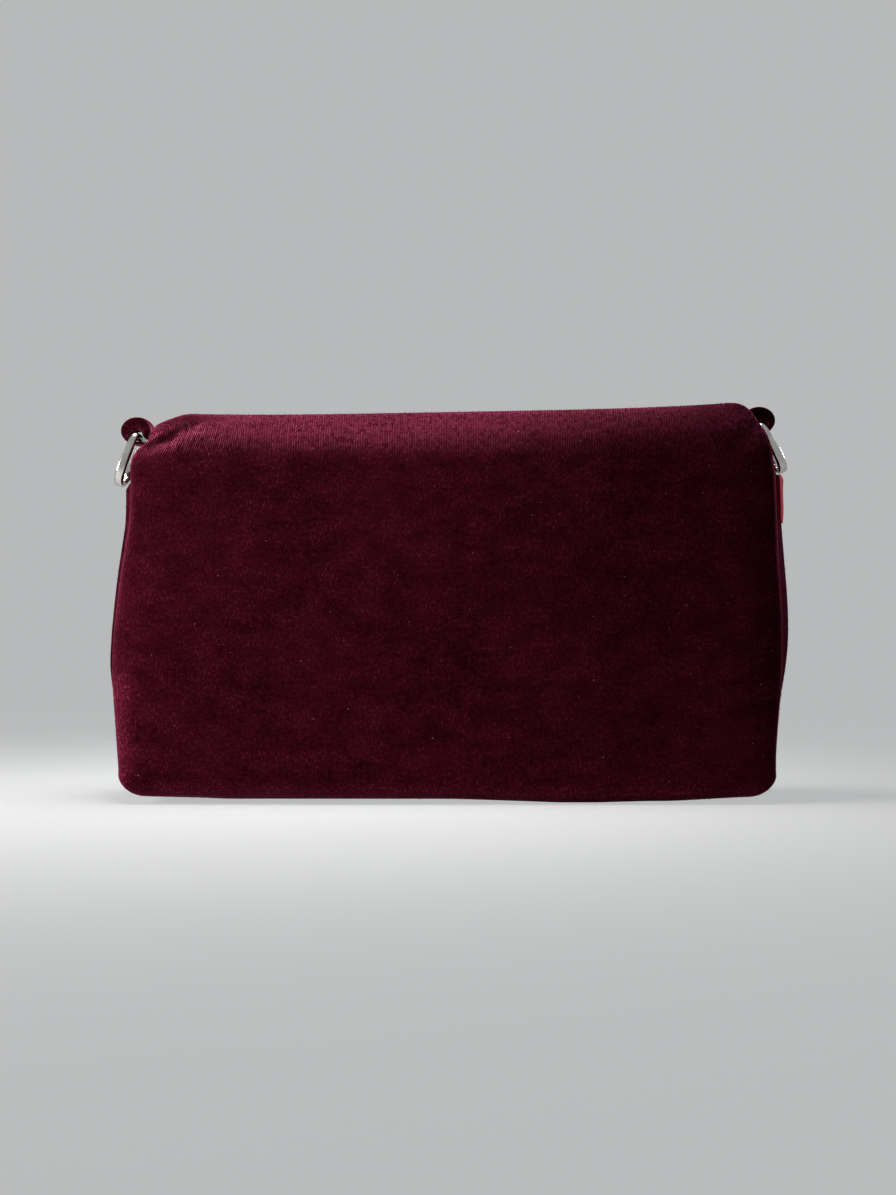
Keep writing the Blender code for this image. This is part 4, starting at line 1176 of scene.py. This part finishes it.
def fibre_board(name):
    """Dull grey board, pressed from flecks of fibre."""
    f = Finish(name)
    place = f.own_place()
    flecks = f.noise(f.stretched(place, (1.0, 1.0, 0.4)), 900.0, 4.0, 0.7)
    clouds = f.noise(place, 45.0, 3.0)
    level = (flecks * 0.6 + clouds * 0.4).between(0.35, 0.65)
    colour = f.blend(level, (0.20, 0.187, 0.170), (0.37, 0.35, 0.325))
    rough = flecks.between(0.2, 0.8, (0.80, 0.95))
    return f.finish(Base_Color=colour, Roughness=rough, Normal=f.bump(flecks, 0.0002, 0.6))


def magnet_face(name):
    """The zinc face of a magnet."""
    f = Finish(name)
    grain = f.noise(f.own_place(), 3000.0, 2.0)
    colour = f.blend(grain, (0.36, 0.36, 0.37), (0.52, 0.52, 0.53))
    rough = grain.between(0.3, 0.7, (0.24, 0.38))
    return f.finish(Base_Color=colour, Metallic=1.0, Roughness=rough, Normal=f.bump(grain, 0.00003, 0.5))


NICKEL, BOARD_FINISH = nickel("polished nickel"), fibre_board("grey fibre board")
MAGNET_FINISH = magnet_face("plated magnet")
for ring in rings.values():
    ring.data.materials.append(NICKEL)
for piece in boards.values():
    piece.data.materials.clear()
    piece.data.materials.append(BOARD_FINISH)
for node in ("magnet_front", "magnet_flap"):
    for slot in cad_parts[node].material_slots:
        slot.material = MAGNET_FINISH
print("metal and board finishes given")

# %% [markdown]
# ## Riding on the part
# Every piece rides on a body of the part, so it moves with the joints, and where it stands for a
# solid, that solid is hidden. For each sheet of cloth the flat size that it was cut to is listed,
# and its area is printed beside it.
# %% Riding on the part and hiding the solids
CLOTHS = [(shell, "velvet_wrap", "velvet"), (lining, "lining_strip", "satin"),
          (ribbon, "seam_ribbon", "satin")]
for word in ("left", "right"):
    CLOTHS += [(sides[word], "gusset_" + word, "velvet"), (tabs[word], "tab_" + word, "velvet"),
               (sides["satin_" + word], "gusset_lining_" + word, "satin")]
for piece, node, slot in CLOTHS:
    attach(piece, "bag")
    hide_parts(node)
for piece in (pile, side_pile, lint):
    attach(piece, "bag")
for run, piece in boards.items():
    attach(piece, "bag")
    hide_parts("board_" + run)
for word, ring in rings.items():
    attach(ring, word + "_ring")
    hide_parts("d_ring_" + word)


def cloth_area(obj):
    """The area of one face of a thin closed sheet, in square metres."""
    return sum(p.area for p in obj.data.polygons) / 2


BOARDED = ["board_front", "board_back", "board_flap"]
SIDE_CUT, SATIN_CUT = 0.0049, 0.0044       # areas of the sides, which narrow toward the top
BOTH = ("left", "right")
SHEETS = [(shell, (0.252, 0.470), "folded", BOARDED, None), (lining, (0.247, 0.450), "laid", BOARDED, None)]
SHEETS += [(sides[word], (0.050, 0.132), "hung", ["velvet_shell"], SIDE_CUT) for word in BOTH]
SHEETS += [(sides["satin_" + word], (0.046, 0.130), "hung", ["satin_lining"], SATIN_CUT) for word in BOTH]
SHEETS += [(tabs[word], (0.022, 0.036), "folded", ["polished_ring_" + word], None) for word in BOTH]
SHEETS += [(ribbon, (0.014, RIBBON_HEIGHT), "folded", ["velvet_side_right"], None)]
for piece, flat, held, under, cut in SHEETS:
    cut_area = cut or flat[0] * flat[1]
    print(piece.name, "area", round(cloth_area(piece) * 1e6), "of", round(cut_area * 1e6), "mm2")

# %% [markdown]
# ## Floor and light
# A plain pale floor runs back and curves up behind the bag. One soft lamp hangs above the top
# fold, a second stands low at the left, a large faint one fills in from the camera's side, and a
# small one behind at the right picks out the far corner. Velvet needs such light that comes along
# its surface, or it looks like painted card. Only what the camera or a mirror sees directly is
# made paler, so the pale paper throws no more light on the bag.
# %% The floor
SWEEP_RADIUS = 0.6


def seen_directly(f):
    """1 for the camera's rays and 1 for a mirror's; both are 0 for light on its way to the bag."""
    return f.node("ShaderNodeLightPath", out=0), f.node("ShaderNodeLightPath", out=3)


def pale_floor():
    """A matt pale paper that takes shadows and looks pale without throwing more light on the bag."""
    f = Finish("pale floor")
    mottle = f.noise(f.own_place(), 9.0, 3.0).between(0.3, 0.7)
    camera_ray, mirror_ray = seen_directly(f)
    seen = (camera_ray + mirror_ray).capped()
    paper = f.blend(mottle, (0.60, 0.60, 0.60), (0.62, 0.62, 0.615))
    colour = f.blend(seen, (0.62, 0.61, 0.60), paper)
    matt = f.node("ShaderNodeBsdfDiffuse", {}, {"Color": colour})
    glow = f.node("ShaderNodeEmission", {}, {"Color": (0.86, 0.87, 0.88, 1.0), "Strength": 1.0})
    both = f.node("ShaderNodeMixShader", {}, {0: camera_ray * 0.55 + mirror_ray * 0.40, 1: matt, 2: glow})
    output = f.tree.nodes.new("ShaderNodeOutputMaterial")
    f.tree.links.new(both.socket, output.inputs["Surface"])
    return f.material


def sweep_floor():
    """A floor that rolls up into a backdrop, as one sheet."""
    rows = [(-5.0, 0.0), (1.0, 0.0)]
    for angle in range(6, 91, 6):
        turn = math.radians(angle)
        rows.append((1.0 + SWEEP_RADIUS * math.sin(turn), SWEEP_RADIUS - SWEEP_RADIUS * math.cos(turn)))
    rows.append((1.0 + SWEEP_RADIUS, 3.0))
    points = [(x, y, z) for y, z in rows for x in (-5.0, 5.0)]
    faces = [(2 * i, 2 * i + 1, 2 * i + 3, 2 * i + 2) for i in range(len(rows) - 1)]
    mesh = bpy.data.meshes.new("studio_floor")
    mesh.from_pydata(points, [], faces)
    for p in mesh.polygons:
        p.use_smooth = True
    obj = bpy.data.objects.new("studio_floor", mesh)
    scene.collection.objects.link(obj)
    mesh.materials.append(pale_floor())
    return obj


sweep_floor()

# %% The lamps and the sky
def lamp(name, place, target, size, power, spread=180.0):
    """A square soft lamp aimed at a point, with its spread in degrees."""
    data = bpy.data.lights.new(name, "AREA")
    data.shape, data.size, data.energy, data.spread = "SQUARE", size, power, math.radians(spread)
    obj = bpy.data.objects.new(name, data)
    obj.location = place
    obj.rotation_euler = (Vector(target) - Vector(place)).to_track_quat("-Z", "Y").to_euler()
    scene.collection.objects.link(obj)
    return obj


lamp("over", (-0.055, -0.01, 0.40), (-0.040, 0.0, 0.10), 0.16, 0.44, 80.0)
lamp("key", (-0.38, -0.105, 0.13), (-0.06, -0.02, 0.07), 0.14, 1.02)
lamp("fill", (-0.6, -1.6, 0.6), (0.0, 0.0, 0.08), 1.0, 0.10)
lamp("rim", (0.38, 0.18, 0.22), (0.125, 0.0, 0.128), 0.08, 0.026, 30.0)
world = bpy.data.worlds.new("studio")
world.use_nodes = True
sky = Finish("sky", world.node_tree)
background = sky.tree.nodes["Background"]
background.inputs["Color"].default_value = (0.80, 0.82, 0.85, 1.0)
camera_ray, mirror_ray = seen_directly(sky)
sky.tree.links.new((camera_ray * 0.58 + mirror_ray * 0.44 + 0.02).socket, background.inputs["Strength"])
scene.world = world
